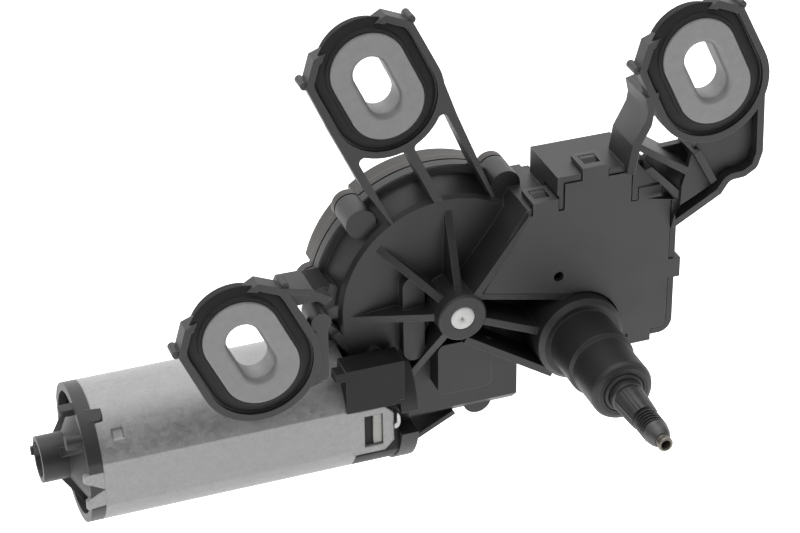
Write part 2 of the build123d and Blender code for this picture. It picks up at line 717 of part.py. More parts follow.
def gear_housing():
    """The moulded housing: drum, nose, worm box, control tray and three arms."""
    flange = slab(chamber_outline(WALL + 1.2), LINK_FRONT - LINK_FLOOR, CASE_REAR)
    bridge = slab(
        hull_of((AXLE, 20.0), ((0, 0), NOSE_R)), DISC_FRONT, CASE_REAR - FLANGE_DEPTH)
    solid = drum() + flange + bridge + disc_details()
    solid += ribs_on_disc()
    solid += bridge_ribs()
    solid += nose()
    solid += worm_box()
    solid += screw_lugs(LUG_FRONT, CASE_REAR)
    solid += box_wall()
    solid += top_arm() + left_arm() + right_arm()
    for name in EARS:
        solid += ear_holder(name)
    # The tray, the chambers and the bores
    solid -= clip_notches()
    solid -= box_room()
    solid += clip_catches()
    solid += plug_socket()
    solid -= plug_room()
    solid -= revolve_y(
        [(0, DISC_FRONT + WALL), (CHAMBER_R_FRONT, DISC_FRONT + WALL),
         (CHAMBER_R_REAR, CASE_REAR + 5), (0, CASE_REAR + 5)], AXLE)
    solid -= slab(chamber_outline(), LINK_FRONT, CASE_REAR + 3)
    solid -= slab(cover_outline(SEAT), CASE_REAR, CASE_REAR + 20)
    solid -= motor_space()
    solid -= rod_x(WORM_BORE_R, FLANGE_X[0] - 1, WORM_BORE_END)
    solid -= rod_x(SHAFT_BUSH_R, WORM_BORE_END - 1, END_BUSH_X[1])
    solid -= rod_y(AXLE, AXLE_R, HUB_FRONT - 1, DISC_FRONT + WALL + 1)
    solid -= rod_y((0, 0), BUSH_R, NOSE_FRONT - 1, CASE_REAR)
    solid -= rod_y((0, 0), SEAL_R, NOSE_FRONT - 1, NOSE_FRONT + SEAL_DEPTH)
    for place in screw_places():
        solid -= rod_y(place, SCREW_R, CASE_REAR + GASKET + COVER_RIM - SCREW_LENGTH, CASE_REAR + 1)
    solid += pipe_y(AXLE, HUB_R - 0.8, AXLE_R, DISC_FRONT + WALL - 0.5, WHEEL_FRONT - SEAT)
    return solid


def cover_outline(grow=0.0):
    """The rear cover's rim: the chamber belt and a lobe at each screw."""
    outline = chamber_outline(WALL + 1.2 + grow) + disc(AXLE, FLANGE_R + grow)
    outline += bar(AXLE, LOWER_SCREW, 2 * (LUG_R + grow))
    return outline + [disc(place, LUG_R + grow) for place in screw_places()]


def worm_space():
    """The room in the rear cover for the worm and for the bush beyond it."""
    worm_room = rod_x(
        WORM_PITCH_R + TOOTH_ADDENDUM + 0.2, AXLE_X - WORM_REACH - 1, WORM_BORE_END)
    return worm_room + rod_x(SHAFT_BUSH_R, WORM_BORE_END - 1, END_BUSH_X[1])


def rear_cover():
    """The dished cover that closes both chambers from behind."""
    front = CASE_REAR + GASKET
    rim = slab(cover_outline(), front, front + COVER_RIM)
    dish = slab(chamber_outline(WALL), front, front + COVER_DEPTH)
    edges = dish.edges().filter_by(lambda e: e.center().Y > front + COVER_DEPTH - 0.1)
    dish = chamfer(edges, 1.6)
    room = slab(chamber_outline(), front - 1, COVER_INNER)
    cover = rim + dish - room
    cover -= rod_y((0, 0), SPINDLE_R + 0.6, COVER_INNER - 1, COVER_INNER + 0.8)
    cover -= worm_space()
    cover -= motor_space()
    for place in screw_places():
        cover -= rod_y(place, SCREW_R + 0.2, front - 1, front + COVER_RIM + 1)
        cover -= rod_y(place, SCREW_HEAD_R + 0.4, front + COVER_RIM, front + COVER_DEPTH + 1)
    return cover


def gasket():
    """The flat seal between housing and rear cover."""
    ring = cover_outline(-0.3) - chamber_outline(0.4)
    ring -= [disc(place, SCREW_R + 0.2) for place in screw_places()]
    return slab(ring, CASE_REAR, CASE_REAR + GASKET) - motor_space() - worm_space()


def cover_screws():
    """The screws through the rear cover into the housing's lugs."""
    solids = []
    seat = CASE_REAR + GASKET + COVER_RIM
    for place in screw_places():
        shank = rod_y(place, SCREW_R, seat - SCREW_LENGTH, seat)
        head = rod_y(place, SCREW_HEAD_R, seat, seat + SCREW_HEAD)
        socket = slab(Pos(*place) * RegularPolygon(1.8, 6), seat + 0.8, seat + SCREW_HEAD + 1)
        solids.append(shank + head - socket)
    return solids


def involute_points(teeth, module, backlash, steps=4):
    """One tooth's right flank from root to tip, as radius and angle pairs."""
    pitch = module * teeth / 2
    base = pitch * math.cos(math.radians(20))
    tip = pitch + module
    root = pitch - 1.25 * module
    half = math.pi / 2 / teeth - backlash / 2 / pitch
    lean = math.tan(math.radians(20)) - math.radians(20)
    pairs = [(root, half + lean)]
    start = max(base, root)
    for step in range(steps + 1):
        radius = start + (tip - start) * step / steps
        press = math.acos(min(1.0, base / radius))
        pairs.append((radius, half + lean - (math.tan(press) - press)))
    return pairs


def tooth_outline(teeth, module, backlash, middle):
    """One tooth about an angle, its root corners first and last."""
    flank = involute_points(teeth, module, backlash)
    points = []
    for radius, angle in flank:
        points.append(polar(middle - math.degrees(angle), radius))
    for radius, angle in reversed(flank):
        points.append(polar(middle + math.degrees(angle), radius))
    return points


def spindle_pinion():
    """The full gear that the toothed rod turns, pressed on the spindle."""
    pitch_angle = 360 / PINION_TEETH
    points = []
    for tooth in range(PINION_TEETH):
        middle = GUIDE_ANGLE + pitch_angle * (tooth + 0.5)
        points.extend(tooth_outline(PINION_TEETH, LINK_MODULE, LINK_BACKLASH, middle))
    outline = patch(points) - Circle(SPINDLE_R)
    return slab(outline, ROD_FRONT, ROD_FRONT + PINION_WIDTH - GUIDE_GAP)


def sector_rod():
    """The rod: an eye at the crank pin and toothed sector at the pivot."""
    pitch_angle = 360 / SECTOR_TEETH
    root = SECTOR_R - 1.25 * LINK_MODULE
    first = GUIDE_ANGLE + 180
    points = [PIVOT]
    local = []
    for tooth in range(-1, 5):
        middle = first + pitch_angle * tooth
        local.extend(tooth_outline(SECTOR_TEETH, LINK_MODULE, LINK_BACKLASH, middle))
    points.extend((PIVOT[0] + x, PIVOT[1] + z) for x, z in local)
    outline = patch(points) + disc(PIVOT, root - 1.6)
    outline += disc(CRANK_PIN, ROD_EYE_R) + bar(CRANK_PIN, PIVOT, ROD_WIDTH)
    outline -= disc(CRANK_PIN, CRANK_PIN_R + FIT)
    outline -= disc(PIVOT, PIVOT_R + FIT)
    return slab(outline, ROD_FRONT, ROD_REAR)


def guide_plate():
    """The plate that holds the rod's pivot at its distance from the spindle."""
    outline = hull_of(((0, 0), GUIDE_R + 1), (PIVOT, GUIDE_R))
    outline -= disc((0, 0), SPINDLE_R + FIT)
    outline -= disc(PIVOT, PIVOT_R)
    return slab(outline, GUIDE_FRONT, GUIDE_REAR)


def pivot_pin():
    pin = rod_y(PIVOT, PIVOT_R, ROD_FRONT, GUIDE_REAR + 0.6)
    return chamfer(pin.edges().group_by(Axis.Y)[0], 0.4)


def worm_tooth(side):
    """A worm wheel tooth's half width at the root and tip."""
    half = (WORM_LEAD - TOOTH_BACKLASH) / 4
    lean = math.tan(math.radians(20))
    if side == "root":
        return half + TOOTH_DEDENDUM * lean
    return half - TOOTH_ADDENDUM * lean


def wheel_outline(turn):
    """The worm wheel's toothed edge, turned by an angle."""
    root = WHEEL_R - TOOTH_DEDENDUM
    tip = WHEEL_R + TOOTH_ADDENDUM
    points = []
    for tooth in range(WHEEL_TEETH):
        middle = -90 + turn + 360 / WHEEL_TEETH * tooth
        wide = math.degrees(worm_tooth("root") / root)
        narrow = math.degrees(worm_tooth("tip") / tip)
        points.append(polar(middle - wide, root))
        points.append(polar(middle - narrow, tip))
        points.append(polar(middle + narrow, tip))
        points.append(polar(middle + wide, root))
    return Polyline(*points, close=True)


def worm_wheel():
    """The moulded wheel, its teeth leaning by the worm's lead angle."""
    half = WHEEL_WIDTH / 2
    lead_angle = math.atan(WORM_LEAD / (2 * math.pi * WORM_PITCH_R))
    lean = math.degrees(half * math.tan(lead_angle) / WHEEL_R)
    centre = Pos(AXLE_X, AXLE_Z)
    rear = face_plane(WHEEL_REAR) * (centre * make_face(wheel_outline(-lean)))
    front = face_plane(WHEEL_FRONT) * (centre * make_face(wheel_outline(lean)))
    wheel = loft([front, rear], ruled=True)
    inside = WHEEL_R - TOOTH_DEDENDUM - WHEEL_RIM
    middle = (WHEEL_FRONT + WHEEL_REAR) / 2
    web = (middle - WHEEL_WEB / 2, middle + WHEEL_WEB / 2)
    wheel -= pipe_y(AXLE, inside, WHEEL_HUB_R, WHEEL_FRONT - 1, web[0])
    wheel -= pipe_y(AXLE, inside, CRANK + CRANK_PIN_R + 3, web[1], WHEEL_REAR + 1)
    wheel -= rod_y(AXLE, AXLE_R + FIT, WHEEL_FRONT - 1, WHEEL_REAR + 1)
    wheel -= rod_y(CRANK_PIN, CRANK_PIN_R, web[0] + 0.5, WHEEL_REAR + 1)
    return wheel


def crank_pin():
    """The wheel's crank pin, which stops just short of the rod's eye."""
    middle = (WHEEL_FRONT + WHEEL_REAR) / 2
    return rod_y(CRANK_PIN, CRANK_PIN_R, middle - WHEEL_WEB / 2 + 0.5, ROD_FRONT - SEAT)


def wheel_axle():
    """The bright pin through the hub that the wheel turns on."""
    pin = rod_y(AXLE, AXLE_R, HUB_FRONT, AXLE_REAR)
    pin = chamfer(pin.edges().group_by(Axis.Y)[0], 0.3)
    return pin - rod_y(AXLE, 0.4, HUB_FRONT - 1, HUB_FRONT + 0.5)


def worm():
    """The worm: one start, cut to mesh with the wheel at rest."""
    half = (WORM_LEAD - TOOTH_BACKLASH) / 4
    lean = math.tan(math.radians(20))
    low = WORM_PITCH_R - WORM_CORE_R + 0.3
    high = TOOTH_ADDENDUM - 0.1
    length = WORM_LEAD * WORM_TURNS
    path = Helix(WORM_LEAD, length, WORM_PITCH_R)
    section = Polyline(
        (-low, -half - low * lean), (high, -half + high * lean),
        (high, half - high * lean), (-low, half + low * lean), close=True)
    plane = Plane(path @ 0, x_dir=(1, 0, 0), z_dir=path % 0)
    thread = sweep(plane * make_face(section), path=path, is_frenet=True)
    core = Pos(0, 0, length / 2) * Cylinder(WORM_CORE_R, 2 * WORM_REACH)
    solid = core + thread - Pos(0, 0, length / 2) * Cylinder(SHAFT_R, 2 * WORM_REACH + 2)
    # With whole turns on both sides, the wheel's lowest tooth meets a gap
    return Pos(AXLE_X - length / 2, MOTOR_Y, MOTOR_Z) * Rot(0, 90, 0) * solid


def spindle():
    """The hollow steel spindle, with taper, thread and wiper arm seat."""
    profile = [
        (TUBE_R, SPINDLE_REAR), (SPINDLE_R, SPINDLE_REAR), (SPINDLE_R, NOSE_FRONT),
        (COLLAR_R, NOSE_FRONT - 1.0), (COLLAR_R, COLLAR_FRONT), (SPINDLE_R - 0.4, COLLAR_FRONT),
        (SPINDLE_R - 0.4, KNURL_REAR), (KNURL_R_REAR, KNURL_REAR),
        (KNURL_R_FRONT, THREAD_REAR), (THREAD_R, THREAD_REAR), (THREAD_R, THREAD_FRONT),
        (CONE_R_FRONT, CONE_FRONT), (TUBE_R, CONE_FRONT)]
    return revolve_y(profile, (0, 0))


def washer_tube():
    """The water tube through the spindle, with its collar at the tip."""
    tube = pipe_y((0, 0), TUBE_R, TUBE_BORE_R, SPINDLE_TIP + 1, SPINDLE_REAR)
    collar = pipe_y((0, 0), TIP_R, TUBE_BORE_R, SPINDLE_TIP, CONE_FRONT)
    return tube + collar


def spindle_bushes():
    """Two plain bearings in the nose."""
    front = NOSE_FRONT + SEAL_DEPTH + 1.0
    rear = ROD_FRONT - 1.5
    first = pipe_y((0, 0), BUSH_R, SPINDLE_R + FIT, front, front + BUSH_LENGTH)
    second = pipe_y((0, 0), BUSH_R, SPINDLE_R + FIT, rear - BUSH_LENGTH, rear)
    return [first, second]


def spindle_seal():
    """The lip seal at the front of the nose."""
    rear = NOSE_FRONT + SEAL_DEPTH
    return pipe_y((0, 0), SEAL_R, SPINDLE_R + FIT, NOSE_FRONT + 0.6, rear)


def can_outline(radius, flat):
    return Circle(radius) & Rectangle(2 * flat, 4 * radius)


def along_x(outline, left, right):
    plane = Plane((left, MOTOR_Y, MOTOR_Z), x_dir=(0, 1, 0), z_dir=(1, 0, 0))
    return extrude(plane * outline, amount=right - left)


def motor_can():
    """The drawn steel can, flat in front and behind, with its hooked tab."""
    left, right = CAN_X
    outer = can_outline(CAN_R, CAN_FLAT)
    inner = can_outline(CAN_R - CAN_WALL, CAN_FLAT - CAN_WALL)
    tube = along_x(outer - inner, left, right)
    face = MOTOR_Y - CAN_FLAT
    notch = span((left - 1, left + 2.6), (face - 1, MOTOR_Y - 10), (-3.6, 3.6))
    tube -= notch
    tab_end = right + 12.4
    tab = span((right - 1, tab_end), (face, face + CAN_WALL), (MOTOR_Z - 9, MOTOR_Z + 7))
    tab = chamfer(tab.edges().filter_by(Axis.Y).group_by(Axis.X)[-1], 3.0)
    window = span(
        (right + 2.8, right + 8.8), (face - 1, face + CAN_WALL + 1),
        (MOTOR_Z - 6.6, MOTOR_Z + 4.6))
    return tube + tab - window


def end_cap():
    """The plastic cap: a ring, three arms and the boss of the rear bearing."""
    left = CAN_X[0]
    ring = pipe_x(CAN_R, CAN_R - CAP_WALL, left - CAP_RING, left)
    ring &= along_x(can_outline(CAN_R, CAN_FLAT), left - CAP_RING, left)
    boss = rod_x(CAP_BOSS_R, CAP_END, left - CAP_RING - 1)
    cone_plane = Plane((left - CAP_RING - 2.5, MOTOR_Y, MOTOR_Z), x_dir=(0, 1, 0), z_dir=(1, 0, 0))
    cone = loft([
        cone_plane * Circle(CAP_BOSS_R),
        cone_plane.offset(CAP_RING + 2.5 - 1.2) * Circle(CAN_R - 5)])
    plate = along_x(can_outline(CAN_R - 2, CAN_FLAT - FIT), left - 1.6, left)
    cap = ring + plate + cone + boss
    for angle in (20, 140, 260):
        arm = Polyline(
            (-CAP_RING - 5, 0), (-CAP_RING - 5, CAP_BOSS_R), (-1, CAN_FLAT - 0.4), (-1, 0),
            close=True)
        web = extrude(make_face(arm), amount=CAP_ARM / 2, both=True)
        cap += Pos(left, MOTOR_Y, MOTOR_Z) * Rot(angle, 0, 0) * web
    lug = span(
        (left - 2, left + 2.4), (MOTOR_Y - CAN_FLAT + 0.8, MOTOR_Y - CAN_FLAT + 3.4), (-3.3, 3.3))
    cap += lug & rod_x(CAN_R, left - 3, left + 3)
    cap += rod_x(2.2, left - CAP_RING - 5, left - 1, MOTOR_Y - 14, MOTOR_Z + 13.5)
    cap -= rod_x(SHAFT_BUSH_R, SHAFT_X[0] - 0.5, left + 1)
    return cap


def brush_holder():
    """The moulding between can and housing that carries the brushes."""
    right = CAN_X[1]
    end = FLANGE_X[0] - FIT
    face = MOTOR_Y - CAN_FLAT
    ring = pipe_x(CAN_R, CAN_R - 4.5, right, end)
    ring -= span((right - 1, 0), (face - 5, face + CAN_WALL), (-60, 20))
    plate = pipe_x(CAN_R - CAN_WALL - 2.0, COMMUTATOR_R + 1.2, right - 2.5, right + 0.5)
    ring += plate & rod_x(CAN_R, right - 5, right + 5)
    block = span((BLOCK_LEFT, end + BLOCK_OVER), (face - 0.6, DISC_FRONT - 1.8), BRUSH_BLOCK_Z)
    block += span((BLOCK_LEFT - 3.3, BLOCK_LEFT + 2), (face - 0.6, face + 4), (-1.8, 1.2))
    block -= rod_x(CAN_R - 4.5, right - 5, FLANGE_X[0] + 1)
    block -= rod_x(CAN_R + FIT, right - 9, right)
    block -= rod_x(CAN_R + 0.6 + SEAT, end, FLANGE_X[1])
    ring += block
    for side in (-1, 1):
        z = sorted((MOTOR_Z + side * (COMMUTATOR_R + 1.5), MOTOR_Z + side * (CAN_R - CAN_WALL - 2.2)))
        guide = span((right - 11.0, right - 1), (MOTOR_Y - 4.2, MOTOR_Y + 4.2), z)
        slot = span((right - 9.0, right - 3.0), (MOTOR_Y - 2.6, MOTOR_Y + 2.6), (z[0] - 1, z[1] + 1))
        ring += guide - slot
    ring -= rod_y(AXLE, FLANGE_R + SEAT, DISC_FRONT - SEAT, MOTOR_Y + CAN_R + 2)
    return ring


def brushes():
    """Two carbon brushes, above and below the commutator."""
    middle = CAN_X[1] - 6.0
    solids = []
    for side in (-1, 1):
        low = COMMUTATOR_R + FIT
        z = sorted((MOTOR_Z + side * low, MOTOR_Z + side * (low + BRUSH_LENGTH)))
        block = span(
            (middle - 2.9, middle + 2.9),
            (MOTOR_Y - BRUSH_WIDTH / 2, MOTOR_Y + BRUSH_WIDTH / 2), z)
        solids.append(block - rod_x(low, middle - 5, middle + 5))
    return solids


def magnets():
    """Two arc magnets inside the can, above and below the armature."""
    room = can_outline(CAN_R - CAN_WALL, CAN_FLAT - CAN_WALL)
    left = CORE_X[0] - MAGNET_END_GAP
    right = CORE_X[1] + MAGNET_END_GAP
    solids = []
    for middle in (90, 270):
        wedge = patch([(0, 0)] + [
            polar(middle + step * MAGNET_HALF_DEG, 2 * CAN_R) for step in (-1, 0, 1)])
        solids.append(along_x((room - Circle(MAGNET_R)) & wedge, left, right))
    return solids


def armature_core():
    """The slotted iron stack."""
    outline = Circle(CORE_R) - Circle(SHAFT_R)
    for slot in range(SLOT_COUNT):
        place = Rot(0, 0, 360 / SLOT_COUNT * slot) * Pos(CORE_R - 2.2, 0)
        outline -= place * Rectangle(5.2, SLOT_WIDTH)
    return along_x(outline, *CORE_X)


def armature_winding():
    """The two end turns of the copper winding."""
    left = pipe_x(WINDING_R, SHAFT_R + 0.3, CORE_X[0] - WINDING_OVERHANG, CORE_X[0])
    right = pipe_x(WINDING_R, SHAFT_R + 0.3, CORE_X[1], CORE_X[1] + WINDING_OVERHANG)
    left = chamfer(left.edges().group_by(Axis.X)[0].sort_by(SortBy.LENGTH)[-1], 2.0)
    right = chamfer(right.edges().group_by(Axis.X)[-1].sort_by(SortBy.LENGTH)[-1], 2.0)
    return [left, right]


def commutator():
    """The ring of copper bars that the brushes run on."""
    ring = pipe_x(COMMUTATOR_R, SHAFT_R, COMMUTATOR_X, COMMUTATOR_X + COMMUTATOR_LENGTH)
    for bar_gap in range(SLOT_COUNT):
        turn = Pos(0, MOTOR_Y, MOTOR_Z) * Rot(360 / SLOT_COUNT * bar_gap, 0, 0)
        ring -= turn * Pos(COMMUTATOR_X + 5, 0, COMMUTATOR_R) * Box(12, 0.5, 1.2)
    return ring


def armature_shaft():
    return rod_x(SHAFT_R, *SHAFT_X)


def shaft_bushes():
    """The bearing in the end cap and the one beyond the worm."""
    first = pipe_x(SHAFT_BUSH_R, SHAFT_R + FIT, SHAFT_X[0] + 0.5, SHAFT_X[0] + 0.5 + SHAFT_BUSH_LENGTH)
    right = END_BUSH_X[1] - SEAT
    second = pipe_x(SHAFT_BUSH_R, SHAFT_R + FIT, right - SHAFT_BUSH_LENGTH, right)
    return [first, second]


def control_cover():
    """The flat snap-on cover of the control box."""
    outline = box_outline(-COVER_GAP) - disc((0, 0), NOSE_R + NOSE_GAP)
    outline -= disc(COVER_HOLE, COVER_HOLE_R)
    return slab(outline, BOX_FRONT, BOX_FRONT + COVER_THICK) + clip_loops()


def circuit_board():
    """The control board behind the cover."""
    outline = box_outline(-1.2) - disc((0, 0), NOSE_R + 2.0)
    board = slab(outline, BOARD_FRONT, BOARD_FRONT + BOARD_THICK)
    parts = span((2, 14), (BOARD_FRONT - 4.5, BOARD_FRONT), (24, 36))
    parts += span((19, 27), (BOARD_FRONT - 3, BOARD_FRONT), (6, 16))
    return board + parts


def connector_pins():
    """Four flat blades from the board into the plug's socket."""
    middle = (BLOCK_X[0] + BLOCK_X[1]) / 2
    solids = []
    for number in range(4):
        x = middle + (number - 1.5) * 4.2
        solids.append(span((x - 1.2, x + 1.2), (BOARD_FRONT + BOARD_THICK, 22.0), (48.5, 49.3)))
    return solids


def sleeve(name):
    """The steel sleeve that the mounting bolt clamps, with a slotted hole."""
    face = EARS[name][1]
    flange = slab(place_ear(name, stadium(SLEEVE_R, SLEEVE_HALF)), face, face + SLEEVE_FLANGE)
    tube = slab(place_ear(name, stadium(SLEEVE_TUBE_R, SLEEVE_HALF)), face, face + SLEEVE_DEPTH)
    hole = slab(place_ear(name, stadium(SLOT_R, SLOT_HALF)), face - 1, face + SLEEVE_DEPTH + 1)
    body = flange + tube - hole
    mouth = body.edges().filter_by(
        lambda e: abs(e.center().Y - face) < 0.01
        and math.dist((e.center().X, e.center().Z), (EARS[name][0], EARS[name][2])) < 10.2)
    return chamfer(mouth, SLOT_BEVEL)


def grommet(name):
    """The rubber grommet between sleeve and ear, with a groove for the plate."""
    face = EARS[name][1]
    wide = place_ear(name, stadium(GROMMET_R, SLEEVE_HALF))
    core = place_ear(name, stadium(HOLDER_INNER_R - 0.1, SLEEVE_HALF))
    hole = place_ear(name, stadium(SLEEVE_TUBE_R, SLEEVE_HALF))
    flange = place_ear(name, stadium(SLEEVE_R, SLEEVE_HALF))
    body = slab(core - hole, face + SLEEVE_FLANGE, face + GROMMET_DEPTH)
    body += slab(wide - flange, face + GROMMET_INSET, face + SLEEVE_FLANGE)
    body += slab(wide - hole, face + SLEEVE_FLANGE, face + FLOOR_FRONT - 0.1)
    rear = face + FLOOR_FRONT + FLOOR_THICK + 0.1
    back = place_ear(name, stadium(GROMMET_REAR_R, SLEEVE_HALF))
    body += slab(back - hole, rear, face + GROMMET_DEPTH)
    return body


def save(name, shape):
    """Write one node, as one solid or a group of solids."""
    if isinstance(shape, list):
        shape = Compound(children=[part for part in shape])
    export_step(shape, os.path.join("parts", name + ".step"))


def main():
    os.makedirs("parts", exist_ok=True)
    nodes = {
        "gear_housing": gear_housing(),
        "rear_cover": rear_cover(),
        "gasket": gasket(),
        "cover_screws": cover_screws(),
        "spindle_pinion": spindle_pinion(),
        "sector_rod": sector_rod(),
        "guide_plate": guide_plate(),
        "pivot_pin": pivot_pin(),
        "worm_wheel": worm_wheel(),
        "crank_pin": crank_pin(),
        "wheel_axle": wheel_axle(),
        "worm": worm(),
        "spindle": spindle(),
        "washer_tube": washer_tube(),
        "spindle_bushes": spindle_bushes(),
        "spindle_seal": spindle_seal(),
        "motor_can": motor_can(),
        "end_cap": end_cap(),
        "brush_holder": brush_holder(),
        "brushes": brushes(),
        "magnets": magnets(),
        "armature_core": armature_core(),
        "armature_winding": armature_winding(),
        "commutator": commutator(),
        "armature_shaft": armature_shaft(),
        "shaft_bushes": shaft_bushes(),
        "control_cover": control_cover(),
        "circuit_board": circuit_board(),
        "connector_pins": connector_pins(),
    }
    for name in EARS:
        nodes["sleeve_" + name] = sleeve(name)
        nodes["grommet_" + name] = grommet(name)
    for name, shape in nodes.items():
        save(name, shape)


main()
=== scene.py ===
"""Dress a rear wiper motor: its visible pieces are modelled and finished on the fixed frame."""

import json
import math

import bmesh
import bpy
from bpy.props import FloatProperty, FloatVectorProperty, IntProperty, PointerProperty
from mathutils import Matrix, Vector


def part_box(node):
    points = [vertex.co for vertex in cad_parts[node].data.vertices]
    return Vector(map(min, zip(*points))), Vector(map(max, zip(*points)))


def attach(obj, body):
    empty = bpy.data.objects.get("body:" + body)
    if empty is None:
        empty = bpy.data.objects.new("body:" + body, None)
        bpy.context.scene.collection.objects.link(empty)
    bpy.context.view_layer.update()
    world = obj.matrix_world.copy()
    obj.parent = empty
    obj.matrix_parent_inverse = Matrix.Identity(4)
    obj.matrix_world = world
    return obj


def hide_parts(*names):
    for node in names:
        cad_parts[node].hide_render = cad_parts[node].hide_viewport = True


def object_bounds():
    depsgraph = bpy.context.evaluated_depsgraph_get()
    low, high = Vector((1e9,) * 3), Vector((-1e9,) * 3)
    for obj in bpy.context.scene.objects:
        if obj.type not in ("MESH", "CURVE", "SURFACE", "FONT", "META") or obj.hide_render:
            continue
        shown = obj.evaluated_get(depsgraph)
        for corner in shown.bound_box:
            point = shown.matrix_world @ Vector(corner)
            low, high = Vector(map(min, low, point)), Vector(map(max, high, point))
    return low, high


bl_info = {
    "name": "Rear Wiper Motor",
    "version": (1, 0, 0),
    "blender": (4, 5, 0),
    "location": "View3D > Sidebar > Wiper Motor",
    "description": "Models and finishes the pieces of a rear wiper motor around its fixed frame",
    "category": "Object",
}

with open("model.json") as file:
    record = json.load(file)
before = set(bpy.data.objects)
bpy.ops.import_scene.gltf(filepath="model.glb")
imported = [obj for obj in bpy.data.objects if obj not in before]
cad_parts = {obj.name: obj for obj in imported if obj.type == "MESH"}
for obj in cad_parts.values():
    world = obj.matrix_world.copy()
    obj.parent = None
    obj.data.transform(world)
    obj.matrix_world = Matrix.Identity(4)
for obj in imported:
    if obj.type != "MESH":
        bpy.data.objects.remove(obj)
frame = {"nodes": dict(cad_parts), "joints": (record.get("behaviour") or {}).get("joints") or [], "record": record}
CAD_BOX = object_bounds()
NODES = frame["nodes"]
MM = 0.001

# Distances, in metres, at which points count as one
WELD = 2e-6  # corners of a CAD mesh, or along a cut
SEAM = 3e-6  # ends of a modelled piece that meet
NEAR = 1e-5  # a point that lies on a ring or in a plane

# Angles under which neighbouring faces shade as one curve
TURNED_CURVE = math.radians(35)
CAP_CURVE = math.radians(30)
PLATE_CURVE = math.radians(20)
CAN_CURVE = math.radians(14)

# Places that the pieces are built about, in metres, as the frame has them
FORWARD = Vector((0, -1, 0))
MOTOR_PLACE = next(j for j in frame["joints"] if j["name"] == "armature_spin")["pos_m"]
MOTOR_AXIS = Vector((0, MOTOR_PLACE[1], MOTOR_PLACE[2]))
EAR_NAMES = ("top", "right", "left")
EAR_TILT = math.radians(25.2)
EAR_RUN = 6.4 * MM  # half of what the ears' ovals are longer than wide
DRUM_MARK = (-62.6 * MM, 17.5 * MM, -0.15 * MM)
CAN_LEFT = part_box("motor_can")[0].x
CAN_RADIUS = 21.75 * MM
CAN_FACE = MOTOR_AXIS.y - 20.4 * MM  # the can's flat front

# Angles about the motor's axis, counted upwards from the can's front
DIMPLE_ANGLE = math.radians(42.5)
LUG_ANGLE = math.radians(62)
PEG_ANGLE = math.radians(75)
NUB_ANGLE = math.radians(186)


def length(name, words, default):
    """A size in metres that a user may change."""
    return FloatProperty(
        name=name, description=words, default=default, min=0.0, max=1.0,
        precision=5, unit="LENGTH")


def degrees(name, words, default):
    """An angle, given in degrees, that a user may change."""
    return FloatProperty(
        name=name, description=words, default=math.radians(default), subtype="ANGLE")


def power(name, words, default):
    """A lamp's power that a user may change."""
    return FloatProperty(name=name, description=words, default=default, unit="POWER")


def colour(name, words, default):
    """A linear colour that a user may change."""
    return FloatVectorProperty(
        name=name, description=words, default=default, min=0.0, max=1.0, size=3,
        subtype="COLOR")


class WIPER_PG_mouldings(bpy.types.PropertyGroup):
    """Looks of the moulded plastic and rubber pieces."""
    plastic: colour("Plastic", "Black of the gear housing and its arms", (0.014, 0.014, 0.015))
    cover: colour("Cover plastic", "Paler black of the control cover", (0.017, 0.017, 0.018))
    rear: colour("Rear cover", "Warm black of the rear cover", (0.030, 0.025, 0.022))
    rubber: colour("Rubber", "Black of the grommets", (0.010, 0.010, 0.010))
    edge: length("Edge radius", "Radius that the housing's edges shade with", 0.35 * MM)
    grain: length("Grain", "Size of the grain on the housing", 0.35 * MM)


class WIPER_PG_mounts(bpy.types.PropertyGroup):
    """Looks and sizes of the sleeves and grommets in the three ears."""
    steel: colour("Sleeve steel", "Dull zinc plate of the sleeves", (0.30, 0.30, 0.30))
    mouth: length("Mouth rounding", "Radius round the mouth of the sleeve's slot", 1.7 * MM)
    brim: length("Brim rounding", "Radius round the sleeve's flat face", 0.35 * MM)
    lip: length("Lip rounding", "Radius round the grommet's back", 0.45 * MM)
    sides: IntProperty(name="Sides", description="Faces round one ring", default=72, min=16)


class WIPER_PG_spindle(bpy.types.PropertyGroup):
    """Looks and sizes of the spindle's knurled taper and thread."""
    steel: colour("Spindle steel", "Dark phosphated steel", (0.105, 0.105, 0.105))
    teeth: IntProperty(name="Knurl teeth", description="Teeth round the taper", default=45, min=12)
    knurl: length("Knurl depth", "Depth of the taper's teeth", 0.3 * MM)
    pitch: length("Thread pitch", "Distance from crest to crest", 1.25 * MM)
    crest: length("Thread radius", "Radius of the thread's crest", 4.0 * MM)
    root: length("Root radius", "Radius at the bottom of the thread", 3.0 * MM)


class WIPER_PG_motor(bpy.types.PropertyGroup):
    """Looks and sizes of the electric motor's can."""
    steel: colour("Can steel", "Galvanised sheet of the can", (0.30, 0.304, 0.30))
    wall: length("Tab thickness", "Thickness of the crimped tabs", 1.1 * MM)
    dimple: length("Dimple", "Side of the pressed dimple near the cap", 3.4 * MM)


class WIPER_PG_stage(bpy.types.PropertyGroup):
    """The camera's stand and the lamps."""
    place: FloatVectorProperty(
        name="Camera", description="Where the camera stands", subtype="TRANSLATION",
        unit="LENGTH", precision=5, default=(-0.28215, -0.61955, 0.43265))
    azimuth: degrees("Azimuth", "Way the camera looks from", -19.75)
    elevation: degrees("Elevation", "Height the camera looks from", 30.84)
    roll: degrees("Roll", "Turn of the picture", -0.74)
    lens: FloatProperty(name="Lens", description="Focal length in millimetres", default=117.0)
    key: power("Key lamp", "Power of the key lamp", 4.0)
    fill: power("Fill lamp", "Power of the fill lamp", 1.5)
    top: power("Top lamp", "Power of the top lamp", 6.0)
    sky: FloatProperty(name="Room light", description="Strength of the room's light", default=0.9)


